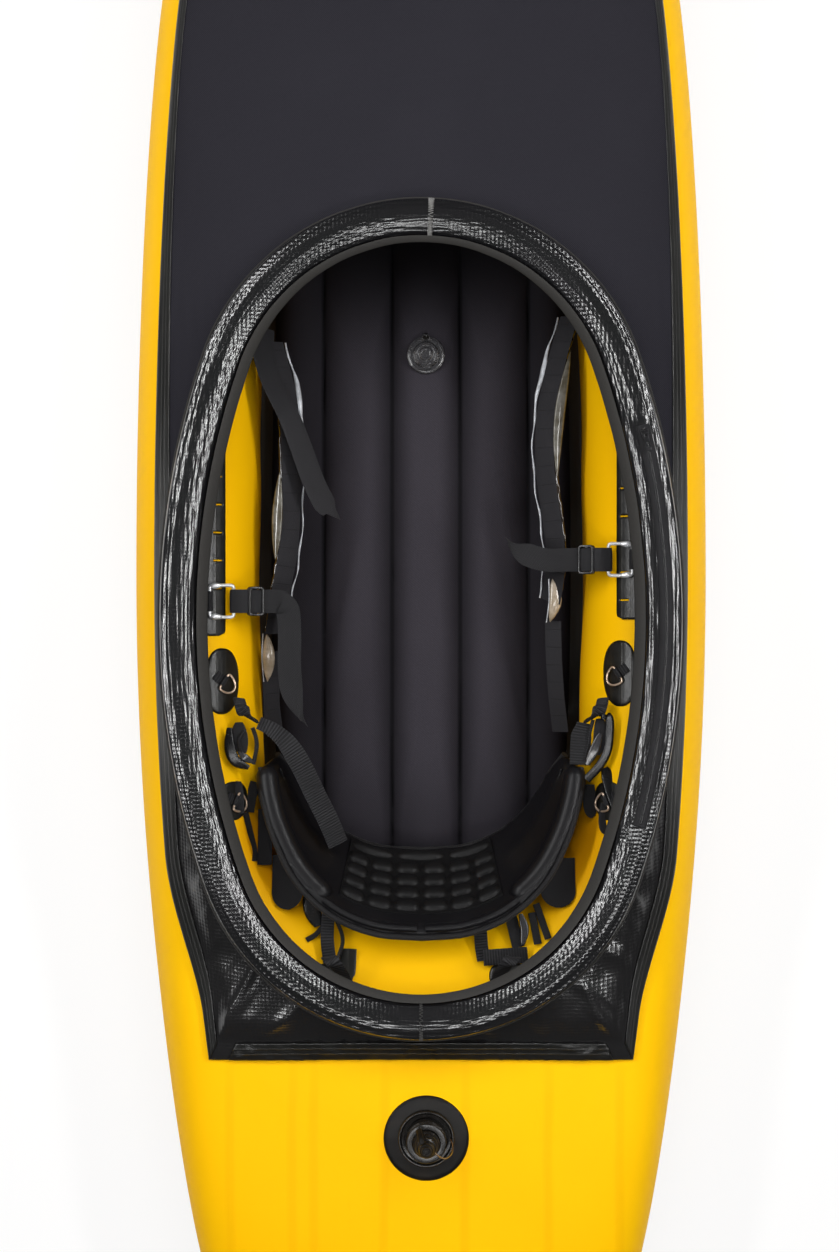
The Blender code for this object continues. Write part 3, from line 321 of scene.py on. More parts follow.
def sleeve_cloth():
    """The coaming's ripstop: a raised grid that stays fore and aft and athwart, all round the oval."""
    made = Finish("coaming_ripstop", 0.2, specular=0.95)
    x, y, _ = made.place()
    u, v, _ = made.place("surface")
    wobble = made.noise(9, 1) * 0.002
    grid = (x + wobble).wave(0.0062) + (y + wobble).wave(0.0062)
    fine = u.wave(0.0021).power(2) * 0.5 + v.wave(0.0021).power(2) * 0.5
    # Long wrinkles along the sleeve: they shape its relief, and their crests are also painted lighter as a
    # painted sheen
    wrinkles_and_painted_sheen = made.noise(24, 2, stretch=(0.5, 7, 1), source="surface", roughness=0.4)
    speckle = made.noise(520, 2)
    made.colors((0.0042, 0.0042, 0.0048), (fine * 0.5, (0.0080, 0.0078, 0.0086)),
                (wrinkles_and_painted_sheen.ramp(0.55, 0.8) * 0.35, (0.0110, 0.0106, 0.0115)))
    made.drive("Roughness", 0.15 + speckle * 0.08 + fine * 0.05)
    made.relief(grid * 0.00015 + fine * 0.00003 + speckle * 0.000010 + wrinkles_and_painted_sheen * 0.0013)
    return made.material


def tape_cloth():
    """A smooth coated tape with two faint weld lines along it."""
    made = Finish("welded_tape", 0.28, specular=0.55)
    _, v, _ = made.place("surface")
    lines = v.line(-0.004, 0.0005, 0.0008).most(v.line(0.006, 0.0005, 0.0008))
    long = made.noise(20, 4, stretch=(0.4, 5, 1), source="surface", roughness=0.6)
    fine = made.noise(240, 2)
    made.colors((0.0055, 0.0055, 0.0050), (long.ramp(0.4, 0.75) * 0.7, (0.0110, 0.0108, 0.0095)),
                (lines * 0.4, (0.026, 0.025, 0.022)))
    made.drive("Roughness", 0.20 + long * 0.16 + fine * 0.08)
    made.relief(lines * 0.00035 + long * 0.0009 + fine * 0.00008)
    return made.material


def band_cloth():
    """The matt edge band, with a stitched line along its outer side."""
    made = Finish("matt_edge_band", 0.86, specular=0.12)
    u, v, _ = made.place("surface")
    weave = u.wave(0.0016) * 0.5 + v.wave(0.0016) * 0.5
    grain = made.noise(500, 2)
    stitch = v.line(0.0052, 0.0004, 0.0004) * u.wave(0.0042).ramp(0.25, 0.45)
    groove = v.line(0.0052, 0.0006, 0.0010)
    made.colors((0.029, 0.028, 0.0265), ((weave * 0.5 + grain * 0.5).ramp(0.3, 0.8), (0.041, 0.039, 0.037)),
                (groove * 0.7, (0.020, 0.018, 0.016)), (stitch, (0.090, 0.085, 0.078)))
    made.relief(weave * 0.00009 + grain * 0.00012 + stitch * 0.0004 - groove * 0.0005)
    return made.material


def webbing_cloth(name, pitch=0.0024, depth=0.00022, dark=(0.0062, 0.0060, 0.0068),
                  light=(0.0185, 0.0180, 0.0200), stagger=0.5):
    """Woven strap: ribs across it, in rows that lie part of a pitch apart."""
    made = Finish(name, 0.62, specular=0.22, sheen=0.06)
    u, v, _ = made.place("surface")
    row = 0.0019
    shift = (v / row).floor() * (pitch * stagger)
    rib = (u + shift).wave(pitch)
    cord = v.wave(row)
    grain = made.noise(700, 2)
    cloudy = made.noise(30, 3)
    weave = rib * 0.6 + cord * 0.4
    made.colors(dark, ((weave * 0.7 + grain * 0.3).ramp(0.3, 0.85), light),
                (cloudy.ramp(0.45, 0.75) * 0.3, dark))
    made.drive("Roughness", 0.52 + grain * 0.2)
    made.relief(rib * depth + cord * depth * 0.5 + grain * 0.00006)
    return made.material


def padding_cloth():
    """Smooth stretchy cover cloth with a soft sheen."""
    made = Finish("padding_cover", 0.34, specular=0.26)
    grain = made.noise(620, 2)
    cloudy = made.noise(12, 4)
    x, y, z = made.place()
    knit = (x + z).wave(0.0013) * 0.5 + (y + z).wave(0.0013) * 0.5
    made.colors((0.0036, 0.0034, 0.0040),
                ((knit * 0.5 + grain * 0.5).ramp(0.3, 0.85), (0.0080, 0.0076, 0.0088)),
                (cloudy.ramp(0.5, 0.8) * 0.3, (0.0100, 0.0095, 0.0105)))
    made.drive("Roughness", 0.30 + grain * 0.12 + cloudy * 0.06)
    made.relief(knit * 0.00005 + grain * 0.00007 + cloudy * 0.0007)
    return made.material


def foam_skin():
    """Moulded foam with a fine pebbled skin."""
    made = Finish("moulded_foam_skin", 0.30, specular=0.22)
    pebble = made.cells(900)
    cloudy = made.noise(25, 3)
    made.colors((0.0030, 0.0030, 0.0032), (pebble.ramp(0.2, 0.7), (0.0062, 0.0060, 0.0064)),
                (cloudy.ramp(0.5, 0.8) * 0.3, (0.0085, 0.0082, 0.0085)))
    made.drive("Roughness", 0.38 + pebble * 0.2)
    made.relief(pebble * 0.00016 + cloudy * 0.0004)
    return made.material


def vinyl(name, dark, light, roughness=0.16):
    """Glossy plastic film, slightly rippled."""
    made = Finish(name, roughness, specular=0.6, coat=0.3, coat_roughness=0.08)
    ripple = made.noise(38, 3, roughness=0.6)
    fine = made.noise(260, 2)
    made.colors(dark, (ripple.ramp(0.35, 0.75), light))
    made.drive("Roughness", roughness - 0.04 + fine * 0.10)
    made.relief(ripple * 0.0008 + fine * 0.00007)
    return made.material


def moulded(name, dark, light, roughness, dust, specular=0.45):
    """Plastic or rubber: a fine grain, paler scuffs and a little dust."""
    made = Finish(name, roughness, specular=specular)
    grain = made.noise(900, 2)
    specks = made.noise(230, 3, roughness=0.7).ramp(0.60, 0.75)
    cloudy = made.noise(45, 4)
    made.colors(dark, (grain.ramp(0.35, 0.8), light), (specks * dust, (0.070, 0.062, 0.052)),
                (cloudy.ramp(0.5, 0.8) * 0.35, (0.022, 0.015, 0.010)))
    made.drive("Roughness", roughness - 0.06 + grain * 0.14 + specks * 0.1)
    made.relief(grain * 0.00005 + specks * 0.00007 + cloudy * 0.0002)
    return made.material


def metal(name, dark, light, roughness, metallic=1.0):
    """Drawn wire: fine scratches and a slightly uneven polish."""
    made = Finish(name, roughness, metallic=metallic)
    scratches = made.noise(700, 2, stretch=(1, 0.15, 1))
    cloudy = made.noise(70, 3)
    made.colors(dark, (cloudy.ramp(0.3, 0.75), light), (scratches.ramp(0.62, 0.75) * 0.3, dark))
    made.drive("Roughness", roughness - 0.05 + scratches * 0.10 + cloudy * 0.05)
    made.relief(scratches * 0.00003 + cloudy * 0.00008)
    return made.material


def coated_patch():
    """Glossy welded patch with faint lines across it."""
    made = Finish("coated_patch", 0.26, specular=0.42)
    x, _, _ = made.place()
    ripple = made.noise(48, 4, roughness=0.6)
    fine = made.noise(300, 2)
    lines = x.wave(0.0145).power(14)
    made.colors((0.0070, 0.0068, 0.0062), (ripple.ramp(0.4, 0.75), (0.0135, 0.0128, 0.0110)),
                (lines * 0.25, (0.030, 0.026, 0.018)))
    made.drive("Roughness", 0.20 + ripple * 0.16 + fine * 0.08)
    made.relief(ripple * 0.0007 + fine * 0.00006 + lines * 0.00012)
    return made.material


def tacked_webbing():
    """Matt webbing sewn down by bars of stitches across it."""
    made = Finish("tacked_webbing", 0.8, specular=0.14)
    u, v, _ = made.place("surface")
    rib = (u + v * 0.6).wave(0.0021)
    grain = made.noise(700, 2)
    bar = ((u / 0.0285).fract() - 0.5).absolute().ramp(0.040, 0.018)
    thread = bar * v.wave(0.0017)
    cloudy = made.noise(24, 3)
    made.colors((0.0150, 0.0146, 0.0165),
                ((rib * 0.5 + grain * 0.5).ramp(0.3, 0.85), (0.0290, 0.0282, 0.0315)),
                (bar * 0.55, (0.0080, 0.0078, 0.0085)), (thread * 0.35, (0.045, 0.044, 0.047)),
                (cloudy.ramp(0.5, 0.8) * 0.25, (0.034, 0.033, 0.036)))
    made.relief(rib * 0.00010 + grain * 0.00008 - bar * 0.0005 + thread * 0.00025)
    return made.material


# Shapes


def metres(points, side=1):
    """Points in millimetres as points in metres, their X turned over for port."""
    return [Vector((side * point[0] / 1000, *(number / 1000 for number in point[1:]))) for point in points]


def smooth_step(t):
    t = min(max(t, 0), 1)
    return t * t * (3 - 2 * t)


def running_length(points, closed=False):
    """The distance from the first point to each one, and round to the first again if closed."""
    points = np.asarray(points)
    if closed:
        points = np.concatenate([points, points[:1]])
    steps = np.linalg.norm(np.diff(points, axis=0), axis=1)
    return np.concatenate([[0], np.cumsum(steps)])


def dress(name, mesh, finish, body, nodes=()):
    item = bpy.data.objects.new(name, mesh)
    bpy.context.scene.collection.objects.link(item)
    mesh.materials.append(finish)
    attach(item, body)
    if nodes:
        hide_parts(*nodes)
    return item


def grid_cells(rows, columns, closed_u, closed_v):
    """The row and column that each cell of a grid starts at, and its corners' numbers."""
    i = np.arange(rows if closed_u else rows - 1)
    j = np.arange(columns if closed_v else columns - 1)
    a, b = np.meshgrid(i, j, indexing="ij")
    k, m = (a + 1) % rows, (b + 1) % columns
    faces = np.stack([a * columns + b, k * columns + b, k * columns + m, a * columns + m], axis=-1)
    return a, b, faces.reshape(-1, 4).tolist()


def grid_mesh(name, grid, closed_u=False, closed_v=False, caps=False, v_from=None, face_up=False, weld=False):
    """A smooth mesh over rows of points, with a map of its own lengths in metres."""
    grid = np.asarray(grid, dtype=float)
    rows, columns, _ = grid.shape
    a, b, faces = grid_cells(rows, columns, closed_u, closed_v)
    extra = []
    if caps:
        extra = [tuple(range(columns))[::-1], tuple((rows - 1) * columns + c for c in range(columns))]
    mesh = bpy.data.meshes.new(name)
    mesh.from_pydata(grid.reshape(-1, 3).tolist(), [], faces + extra)
    u = running_length(grid[:, columns // 2], closed_u)
    v = running_length(grid[rows // 2], closed_v)
    v = v - v[-1] / 2 if v_from is None else v - v_from
    layer = mesh.uv_layers.new(name="metres")
    corners = np.stack([
        np.stack([u[a], v[b]], -1), np.stack([u[a + 1], v[b]], -1),
        np.stack([u[a + 1], v[b + 1]], -1), np.stack([u[a], v[b + 1]], -1)], axis=-2).reshape(-1, 2)
    if extra:
        corners = np.concatenate([corners, np.zeros((2 * columns, 2))])
    layer.data.foreach_set("uv", corners.astype(np.float32).ravel())
    shape = bmesh.new()
    shape.from_mesh(mesh)
    if weld:
        bmesh.ops.remove_doubles(shape, verts=shape.verts, dist=0.000001)
    if closed_v and (closed_u or caps) or weld and not face_up:
        bmesh.ops.recalc_face_normals(shape, faces=shape.faces)
    elif face_up and sum(face.normal.z for face in shape.faces) < 0:
        bmesh.ops.reverse_faces(shape, faces=shape.faces)
    shape.to_mesh(mesh)
    shape.free()
    mesh.shade_smooth()
    return mesh


def thicken(item, thickness):
    """Gives a sheet its thickness, all of it below the modelled side."""
    modifier = item.modifiers.new("thickness", "SOLIDIFY")
    modifier.thickness = thickness
    return item


def sharpen(mesh, angle):
    mesh.set_sharp_from_angle(angle=angle)
    return mesh


def smooth_path(points, pieces):
    """Points on one smooth curve through the given points."""
    points = [Vector(point) for point in points]
    padded = [2 * points[0] - points[1]] + points + [2 * points[-1] - points[-2]]
    path = []
    for a, b, c, d in zip(padded, padded[1:], padded[2:], padded[3:]):
        for step in range(pieces):
            t = step / pieces
            point = 2 * b + (c - a) * t
            point += (2 * a - 5 * b + 4 * c - d) * t**2
            point += (3 * b - a - 3 * c + d) * t**3
            path.append(0.5 * point)
    path.append(points[-1])
    return path


def fillet(points, reach, closed=True, steps=4):
    """A path or outline with its corners rounded off."""
    points = [Vector(point) for point in points]
    done = []
    for i, corner in enumerate(points):
        if not closed and i in (0, len(points) - 1):
            done.append(corner)
            continue
        before, after = points[i - 1] - corner, points[(i + 1) % len(points)] - corner
        a = corner + before.normalized() * min(reach, before.length * 0.45)
        b = corner + after.normalized() * min(reach, after.length * 0.45)
        for step in range(steps + 1):
            t = step / steps
            done.append((1 - t) ** 2 * a + 2 * t * (1 - t) * corner + t * t * b)
    return done


def even_steps(path, sides, step):
    """The same path with points an even step apart, and the directions that go with them."""
    lengths = [0.0]
    for before, after in zip(path, path[1:]):
        lengths.append(lengths[-1] + (after - before).length)
    count = max(int(lengths[-1] / step), 2)
    points, turned, k = [], [], 0
    for i in range(count + 1):
        target = lengths[-1] * i / count
        while k < len(path) - 2 and lengths[k + 1] < target:
            k += 1
        share = (target - lengths[k]) / max(lengths[k + 1] - lengths[k], 1e-9)
        points.append(path[k].lerp(path[k + 1], share))
        turned.append(sides[k].lerp(sides[k + 1], share))
    return points, turned


def strap(name, path, width, finish, body, nodes=(), across=(0, 1, 0), thickness=0.0016,
          slant=0.0, taper=None, pieces=6, faces=8, ribs=False):
    """Flat webbing along a smooth path, its width turned towards across, or one direction a point."""
    sides = across if isinstance(across, list) else [across] * len(path)
    path, sides = smooth_path(path, pieces), smooth_path(sides, pieces)
    if ribs:
        path, sides = even_steps(path, sides, RIB_PITCH / 4)
    last = len(path) - 1
    rings = []
    for i, point in enumerate(path):
        rib = 1 + 0.55 * math.cos(math.pi * i / 2) if ribs else 1
        along = (path[min(i + 1, last)] - path[max(i - 1, 0)]).normalized()
        wide = (sides[i] - along * sides[i].dot(along)).normalized()
        thick = along.cross(wide)
        half = width / 2 * (taper(i / last) if taper else 1)
        ring = []
        for face in (1, -1):
            for k in range(faces + 1):
                s = face * (2 * k / faces - 1)
                full = max(1 - abs(s) ** 6, 0.15)
                ring.append(point + wide * half * s + thick * face * thickness / 2 * full * rib
                            + along * (slant * s if i == last else 0))
        rings.append(ring)
    mesh = sharpen(grid_mesh(name, rings, closed_v=True, caps=True), 1.2)
    return dress(name, mesh, finish, body, nodes)


def wire(name, path, radius, finish, body, nodes=(), normal=None, closed=False, around=10):
    """A round bar along a path. Its radius is a number, or a rule of the share along it."""
    path = [Vector(point) for point in path]
    count = len(path)
    rings = []
    wide = Vector(normal).normalized() if normal else None
    for i, point in enumerate(path):
        if closed:
            along = (path[(i + 1) % count] - path[i - 1]).normalized()
        else:
            along = (path[min(i + 1, count - 1)] - path[max(i - 1, 0)]).normalized()
        if wide is None:
            wide = along.orthogonal().normalized()
        if not normal:
            wide = (wide - along * wide.dot(along)).normalized()
        level = along.cross(wide).normalized()
        size = radius(i / count) if callable(radius) else radius
        turns = [2 * math.pi * k / around for k in range(around)]
        rings.append([point + wide * size * math.cos(turn) + level * size * math.sin(turn) for turn in turns])
    mesh = sharpen(grid_mesh(name, rings, closed_u=closed, closed_v=True, caps=not closed), 1.2)
    return dress(name, mesh, finish, body, nodes)


def lathe(name, profile, centre, finish, body, nodes=(), direction=(0, 0, 1), steps=72, rule=None):
    """A turned piece from (radius, height) points. rule(turn, radius) gives a share of the radius."""
    on_axis = profile[0][0] == 0
    profile = fillet(profile, 0.0005, closed=not on_axis, steps=3)
    place = Matrix.Translation(centre) @ Vector(direction).to_track_quat("Z", "Y").to_matrix().to_4x4()
    rings = []
    for k in range(steps):
        turn = 2 * math.pi * k / steps
        ring = []
        for radius, height in profile:
            radius *= rule(turn, radius) if rule else 1
            ring.append(place @ Vector((radius * math.cos(turn), radius * math.sin(turn), height)))
        rings.append(ring)
    mesh = sharpen(grid_mesh(name, rings, closed_u=True, closed_v=not on_axis, weld=on_axis), 0.7)
    return dress(name, mesh, finish, body, nodes)


def plate(name, loops, thickness, edge, place, finish, body, slot, nodes=()):
    """A flat plate with rounded edges: an outline and the outlines of its holes, stood at a place."""
    curve = bpy.data.curves.new(name, "CURVE")
    curve.dimensions = "2D"
    curve.fill_mode = "BOTH"
    curve.extrude = thickness / 2 - edge
    curve.bevel_depth = edge
    curve.bevel_resolution = 2
    curve.offset = -edge
    for loop in loops:
        spline = curve.splines.new("POLY")
        spline.points.add(len(loop) - 1)
        for corner, point in zip(spline.points, loop):
            corner.co = (point[0], point[1], 0, 1)
        spline.use_cyclic_u = True
    stand = bpy.data.objects.new(name, curve)
    bpy.context.scene.collection.objects.link(stand)
    mesh = bpy.data.meshes.new_from_object(stand.evaluated_get(bpy.context.evaluated_depsgraph_get()))
    bpy.data.objects.remove(stand)
    shape = bmesh.new()
    shape.from_mesh(mesh)
    bmesh.ops.remove_doubles(shape, verts=shape.verts, dist=0.00001)
    layer = shape.loops.layers.uv.new("metres")
    for face in shape.faces:
        for corner in face.loops:
            corner[layer].uv = corner.vert.co.xy
    shape.to_mesh(mesh)
    shape.free()
    mesh.transform(place)
    mesh.materials.clear()
    mesh.shade_smooth()
    return dress(name, sharpen(mesh, 0.6), finish, body, nodes)


def box_loop(half_x, half_y, x=0.0, y=0.0, corner=0.003):
    return fillet([(x - half_x, y - half_y), (x + half_x, y - half_y), (x + half_x, y + half_y),
                   (x - half_x, y + half_y)], corner, steps=6)


def round_loop(radius, x, y):
    turns = [2 * math.pi * k / 32 for k in range(32)]
    return [(x + radius * math.cos(turn), y + radius * math.sin(turn)) for turn in turns]


def inflate(item, voxel, pressure, cap):
    """Blows a padded piece up as cloth, no point further than cap, and leaves a plain smooth mesh."""
    remesh = item.modifiers.new("remesh", "REMESH")
    remesh.mode = "VOXEL"
    remesh.voxel_size = voxel
    start = bpy.data.meshes.new_from_object(item.evaluated_get(bpy.context.evaluated_depsgraph_get()))
    item.modifiers.clear()
    item.data = start
    cloth = item.modifiers.new("cloth", "CLOTH")
    cloth.settings.use_pressure = True
    cloth.settings.uniform_pressure_force = pressure
    cloth.settings.effector_weights.gravity = 0
    for step in range(1, 21):
        bpy.context.scene.frame_set(step)
    blown = bpy.data.meshes.new_from_object(item.evaluated_get(bpy.context.evaluated_depsgraph_get()))
    item.modifiers.clear()
    bpy.context.scene.frame_set(1)
    before, after = np.empty(len(start.vertices) * 3), np.empty(len(start.vertices) * 3)
    start.vertices.foreach_get("co", before)
    blown.vertices.foreach_get("co", after)
    move = (after - before).reshape(-1, 3)
    far = np.maximum(np.linalg.norm(move, axis=1) / cap, 1)
    before += (move / far[:, None]).ravel()
    start.vertices.foreach_set("co", before)
    start.shade_smooth()
    smooth = item.modifiers.new("smooth", "SUBSURF")
    smooth.levels = smooth.render_levels = 1
    return item


def hull_half_width(y):
    u = y - WIDEST_Y
    taper, fullness, reach = (BOW_TAPER, BOW_FULLNESS, BOW_REACH) if u > 0 else (
        STERN_TAPER, STERN_FULLNESS, STERN_REACH)
    t = min(abs(u) / reach, 1)
    return HALF_BEAM * (1 - taper * u * u) * math.sqrt(1 - t**fullness)


def outline_point(angle):
    rise = math.sin(angle)
    y = WIDEST_Y + rise * (BOW_REACH if rise > 0 else STERN_REACH)
    return Vector((math.copysign(hull_half_width(y), math.cos(angle)), y))


def well_end(y):
    if y > (WELL_FRONT + WELL_BACK) / 2:
        return WELL_FRONT_KNEE, WELL_FRONT - WELL_FRONT_KNEE, 1
    return WELL_BACK_KNEE, WELL_BACK_KNEE - WELL_BACK, -1


def well_half_width(y):
    knee, room, sign = well_end(y)
    beyond = min(max(sign * (y - knee) / room, 0), 1)
    if beyond == 0:
        return hull_half_width(y) - TUBE_WIDTH
    return (hull_half_width(knee) - TUBE_WIDTH) * (1 - beyond**WELL_CORNER) ** (1 / WELL_CORNER)


def well_point(angle):
    outer = outline_point(angle)
    knee, room, sign = well_end(outer.y)
    if sign * (outer.y - knee) <= 0:
        return Vector((math.copysign(well_half_width(outer.y), outer.x), outer.y))
    knee_angle = math.asin(abs(knee - WIDEST_Y) / (BOW_REACH if sign > 0 else STERN_REACH))
    bend = (math.asin(min(abs(math.sin(angle)), 1)) - knee_angle) / (math.pi / 2 - knee_angle) * math.pi / 2
    across = (hull_half_width(knee) - TUBE_WIDTH) * max(math.cos(bend), 0) ** (2 / WELL_CORNER)
    return Vector((math.copysign(across, outer.x), knee + sign * room * math.sin(bend) ** (2 / WELL_CORNER)))


def tip(y):
    if y > ROCKER_FRONT:
        return (y - ROCKER_FRONT) / (WIDEST_Y + BOW_REACH - ROCKER_FRONT)
    if y < ROCKER_BACK:
        return (ROCKER_BACK - y) / (STERN_REACH - WIDEST_Y + ROCKER_BACK)
    return 0


def hull_grid():
    grid = np.zeros((HULL_STATIONS, HULL_SECTION_POINTS, 3))
    for i in range(HULL_STATIONS):
        angle = 2 * math.pi * i / HULL_STATIONS
        outer, inner = outline_point(angle), well_point(angle)
        middle, half = (outer + inner) / 2, (outer - inner) / 2
        power = 2 / (2 + 1.3 * smooth_step((2 * half.length - 0.2) / 0.5))
        for j in range(HULL_SECTION_POINTS):
            turn = 2 * math.pi * j / HULL_SECTION_POINTS
            c, s = math.cos(turn), math.sin(turn)
            flat = middle + half * math.copysign(abs(c) ** power, c)
            t = tip(flat.y)
            tall = TUBE_HEIGHT / 2 * (1 - 0.3 * t * t)
            rocker = t * t * (BOW_ROCKER if flat.y > 0 else STERN_ROCKER)
            height = HULL_BASE + rocker + tall * (1 + math.copysign(abs(s) ** power, s))
            grid[i, j] = (flat.x, flat.y, height)
    return grid


HULL_GRID = hull_grid()
HULL_TREE = BVHTree.FromPolygons([Vector(point) for point in HULL_GRID.reshape(-1, 3)],
                                 grid_cells(HULL_STATIONS, HULL_SECTION_POINTS, True, True)[2])


def hull_top(x, y):
    hit = HULL_TREE.ray_cast(Vector((x, y, 1)), Vector((0, 0, -1)))[0]
    return hit.z if hit else 0


def make_hull(finish):
    """The tubes, with welded seams on the stern and small scallops along the well's edge."""
    grid = HULL_GRID.copy()
    turns = np.arange(HULL_SECTION_POINTS) * 2 * math.pi / HULL_SECTION_POINTS
    for i in range(HULL_STATIONS):
        inward = outline_point(2 * math.pi * i / HULL_STATIONS)
        for j, turn in enumerate(turns):
            point = grid[i, j]
            inner = max(-math.cos(turn), 0) ** 6
            scallop = math.sin(2 * math.pi * point[1] / 0.024) * 0.0011
            scallop += noise.noise(Vector((point[0] * 9, point[1] * 9, 3))) * 0.0022
            if abs(point[1]) < 0.75:
                point[0] += math.copysign(1, inward.x) * inner * scallop
            point[2] += noise.noise(Vector((point[0] * 5, point[1] * 3, 7))) * 0.0010 * max(math.sin(turn), 0)
    mesh = grid_mesh("hull_fabric", grid, closed_u=True, closed_v=True)
    return dress("hull_fabric", mesh, finish, "root", ["hull_tube"])


def make_floor(finish):
    """Five inflated chambers with sewn channels between them."""
    across, along = 150, 120
    grid = []
    for i in range(along + 1):
        y = FLOOR_BACK + (FLOOR_FRONT - FLOOR_BACK) * smooth_step(i / along)
        half = min(well_half_width(y) - 0.010, 2.32 * FLOOR_CHAMBER)
        end = min(y - FLOOR_BACK, FLOOR_FRONT - y)
        full = math.sqrt(max(1 - max(1 - end / 0.05, 0) ** 2, 0.04))
        row = []
        for k in range(across + 1):
            x = half * (2 * k / across - 1)
            phase = abs(math.cos(math.pi * (x - FLOOR_SHIFT) / FLOOR_CHAMBER))
            edge = math.sqrt(max(1 - (abs(x) / (half + 0.0005)) ** 10, 0.02))
            pucker = 0.0012 * math.sin(2 * math.pi * y / 0.021 + 9 * x) * (1 - phase) ** 3
            soft = noise.noise(Vector((x * 7, y * 4, 1))) * 0.0016
            height = (FLOOR_TOP - FLOOR_BASE - CHANNEL_DEPTH * (1 - phase**0.6)) * edge * full
            row.append((x, y, FLOOR_BASE + max(height + (pucker + soft) * edge * full, 0.001)))
        row += [(half * (1 - 2 * k / 10), y, FLOOR_BASE) for k in range(11)]
        grid.append(row)
    mesh = sharpen(grid_mesh("floor_cloth", grid, closed_v=True, caps=True), 1.2)
    dress("floor_cloth", mesh, finish, "root", ["inflatable_floor"])


# Coaming oval


def oval_point(normal_angle, offset=0.0):
    c, s = math.cos(normal_angle), math.sin(normal_angle)
    if abs(s) < math.sin(OVAL_JOIN):
        centre = Vector((math.copysign(OVAL_SIDE - OVAL_A, -c), 0))
        radius = OVAL_SIDE
    else:
        centre = Vector((0, math.copysign(OVAL_B - OVAL_END, s)))
        radius = OVAL_END
    return centre + (radius + offset) * Vector((c, s)) + Vector((0, COAMING_Y))


def oval_towards(target, offset):
    goal = math.atan2(target.y - COAMING_Y, target.x)
    low, high = goal - 1.2, goal + 1.2
    for _ in range(30):
        middle = (low + high) / 2
        point = oval_point(middle, offset)
        seen = math.atan2(point.y - COAMING_Y, point.x)
        if (seen - goal + math.pi) % (2 * math.pi) - math.pi > 0:
            high = middle
        else:
            low = middle
    return point


def oval_angles(spacing):
    """Normal directions at an even spacing along the oval."""
    join = OVAL_JOIN
    side = max(int(2 * join * OVAL_SIDE / spacing), 2)
    end = max(int((math.pi - 2 * join) * OVAL_END / spacing), 2)
    angles = [-join + 2 * join * i / side for i in range(side)]
    angles += [join + (math.pi - 2 * join) * i / end for i in range(end)]
    return angles + [angle + math.pi for angle in angles]


def zip_share(angle):
    """1 along the zip, 0 away from it."""
    angle = (angle + math.pi) % (2 * math.pi) - math.pi
    return smooth_step((angle - ZIP_BACK) / 0.03 + 1) * smooth_step((ZIP_FRONT - angle) / 0.03 + 1)


def sleeve_section(turn, flat=0.0):
    """Offset and height on the sleeve's skin, which slopes inwards. 0 is outside, 90 degrees the top."""
    c, s = math.cos(turn), math.sin(turn)
    offset = (SLEEVE_HALF_WIDTH if c > 0 else SLEEVE_INNER) * math.copysign(abs(c) ** 0.77, c)
    height = SLEEVE_HALF_HEIGHT * math.copysign(abs(s) ** 0.77, s)
    lean = SLEEVE_LEAN * smooth_step((SLEEVE_CREST - offset) / (SLEEVE_CREST + SLEEVE_INNER))
    return offset, height - lean * min(1 + s, 1) * (1 - 0.85 * flat)


def sleeve_wrinkle(angle, turn, length):
    """How far the sleeve's cloth stands out: long folds on its sides, a ridge near its outer edge."""
    side = abs(math.cos(angle)) ** 2
    around = turn * SLEEVE_HALF_WIDTH
    top = max(math.sin(turn), 0)
    long = noise.noise(Vector((length * 9, around * 150, 11)))
    longer = noise.noise(Vector((length * 4, around * 80, 17)))
    ridge = math.exp(-((turn - 0.62) / 0.16) ** 2) * 0.0011 - math.exp(-((turn - 1.0) / 0.22) ** 2) * 0.0013
    folds = (0.0006 * long + 0.0010 * longer) * (0.35 + 0.65 * side)
    return (folds * top + ridge * (0.7 + 0.5 * longer)) if top > 0 else 0


def make_sleeve(finish):
    angles = oval_angles(0.0055)
    count = 76
    low, high = math.radians(-72), math.radians(252)
    grid, length, before = [], 0, None
    for angle in angles:
        here = oval_point(angle)
        length += (here - before).length if before else 0
        before = here
        row = []
        for k in range(count):
            turn = low + (high - low) * k / (count - 1)
            offset, height = sleeve_section(turn, zip_share(angle))
            out = sleeve_wrinkle(angle, turn, length)
            offset += out * math.cos(turn)
            place = oval_point(angle, offset)
            row.append((place.x, place.y, SLEEVE_Z + height + out * math.sin(turn)))
        grid.append(row)
    middle = running_length(grid[0])[int((math.pi / 2 - low) / (high - low) * (count - 1))]
    grid = [row[::-1] for row in grid]
    mesh = grid_mesh("coaming_cloth", grid, closed_u=True, face_up=True,
                     v_from=running_length(grid[0])[-1] - middle)
    thicken(dress("coaming_cloth", mesh, finish, "root", ["coaming_sleeve"]), 0.0012)


def oval_strip(name, section, finish, node, ends=0.0):
    """A closed section of (offset, height) points carried round the oval, narrower fore and aft by ends."""
    grid = []
    first_offset, first_height = section[0]
    for n, angle in enumerate(oval_angles(0.006)):
        sway = noise.noise(Vector((n * 0.11, 5, 2))) * 0.0004
        narrow = 1 - ends * (0.42 if math.sin(angle) > 0 else 0.25) * math.sin(angle) ** 2
        row = []
        for offset, height in section:
            place = oval_point(angle, first_offset + (offset - first_offset) * narrow + sway)
            row.append((place.x, place.y, first_height + (height - first_height) * narrow))
        grid.append(row)
    mesh = sharpen(grid_mesh(name, grid, closed_u=True, closed_v=True), 0.9)
    dress(name, mesh, finish, "root", [node])


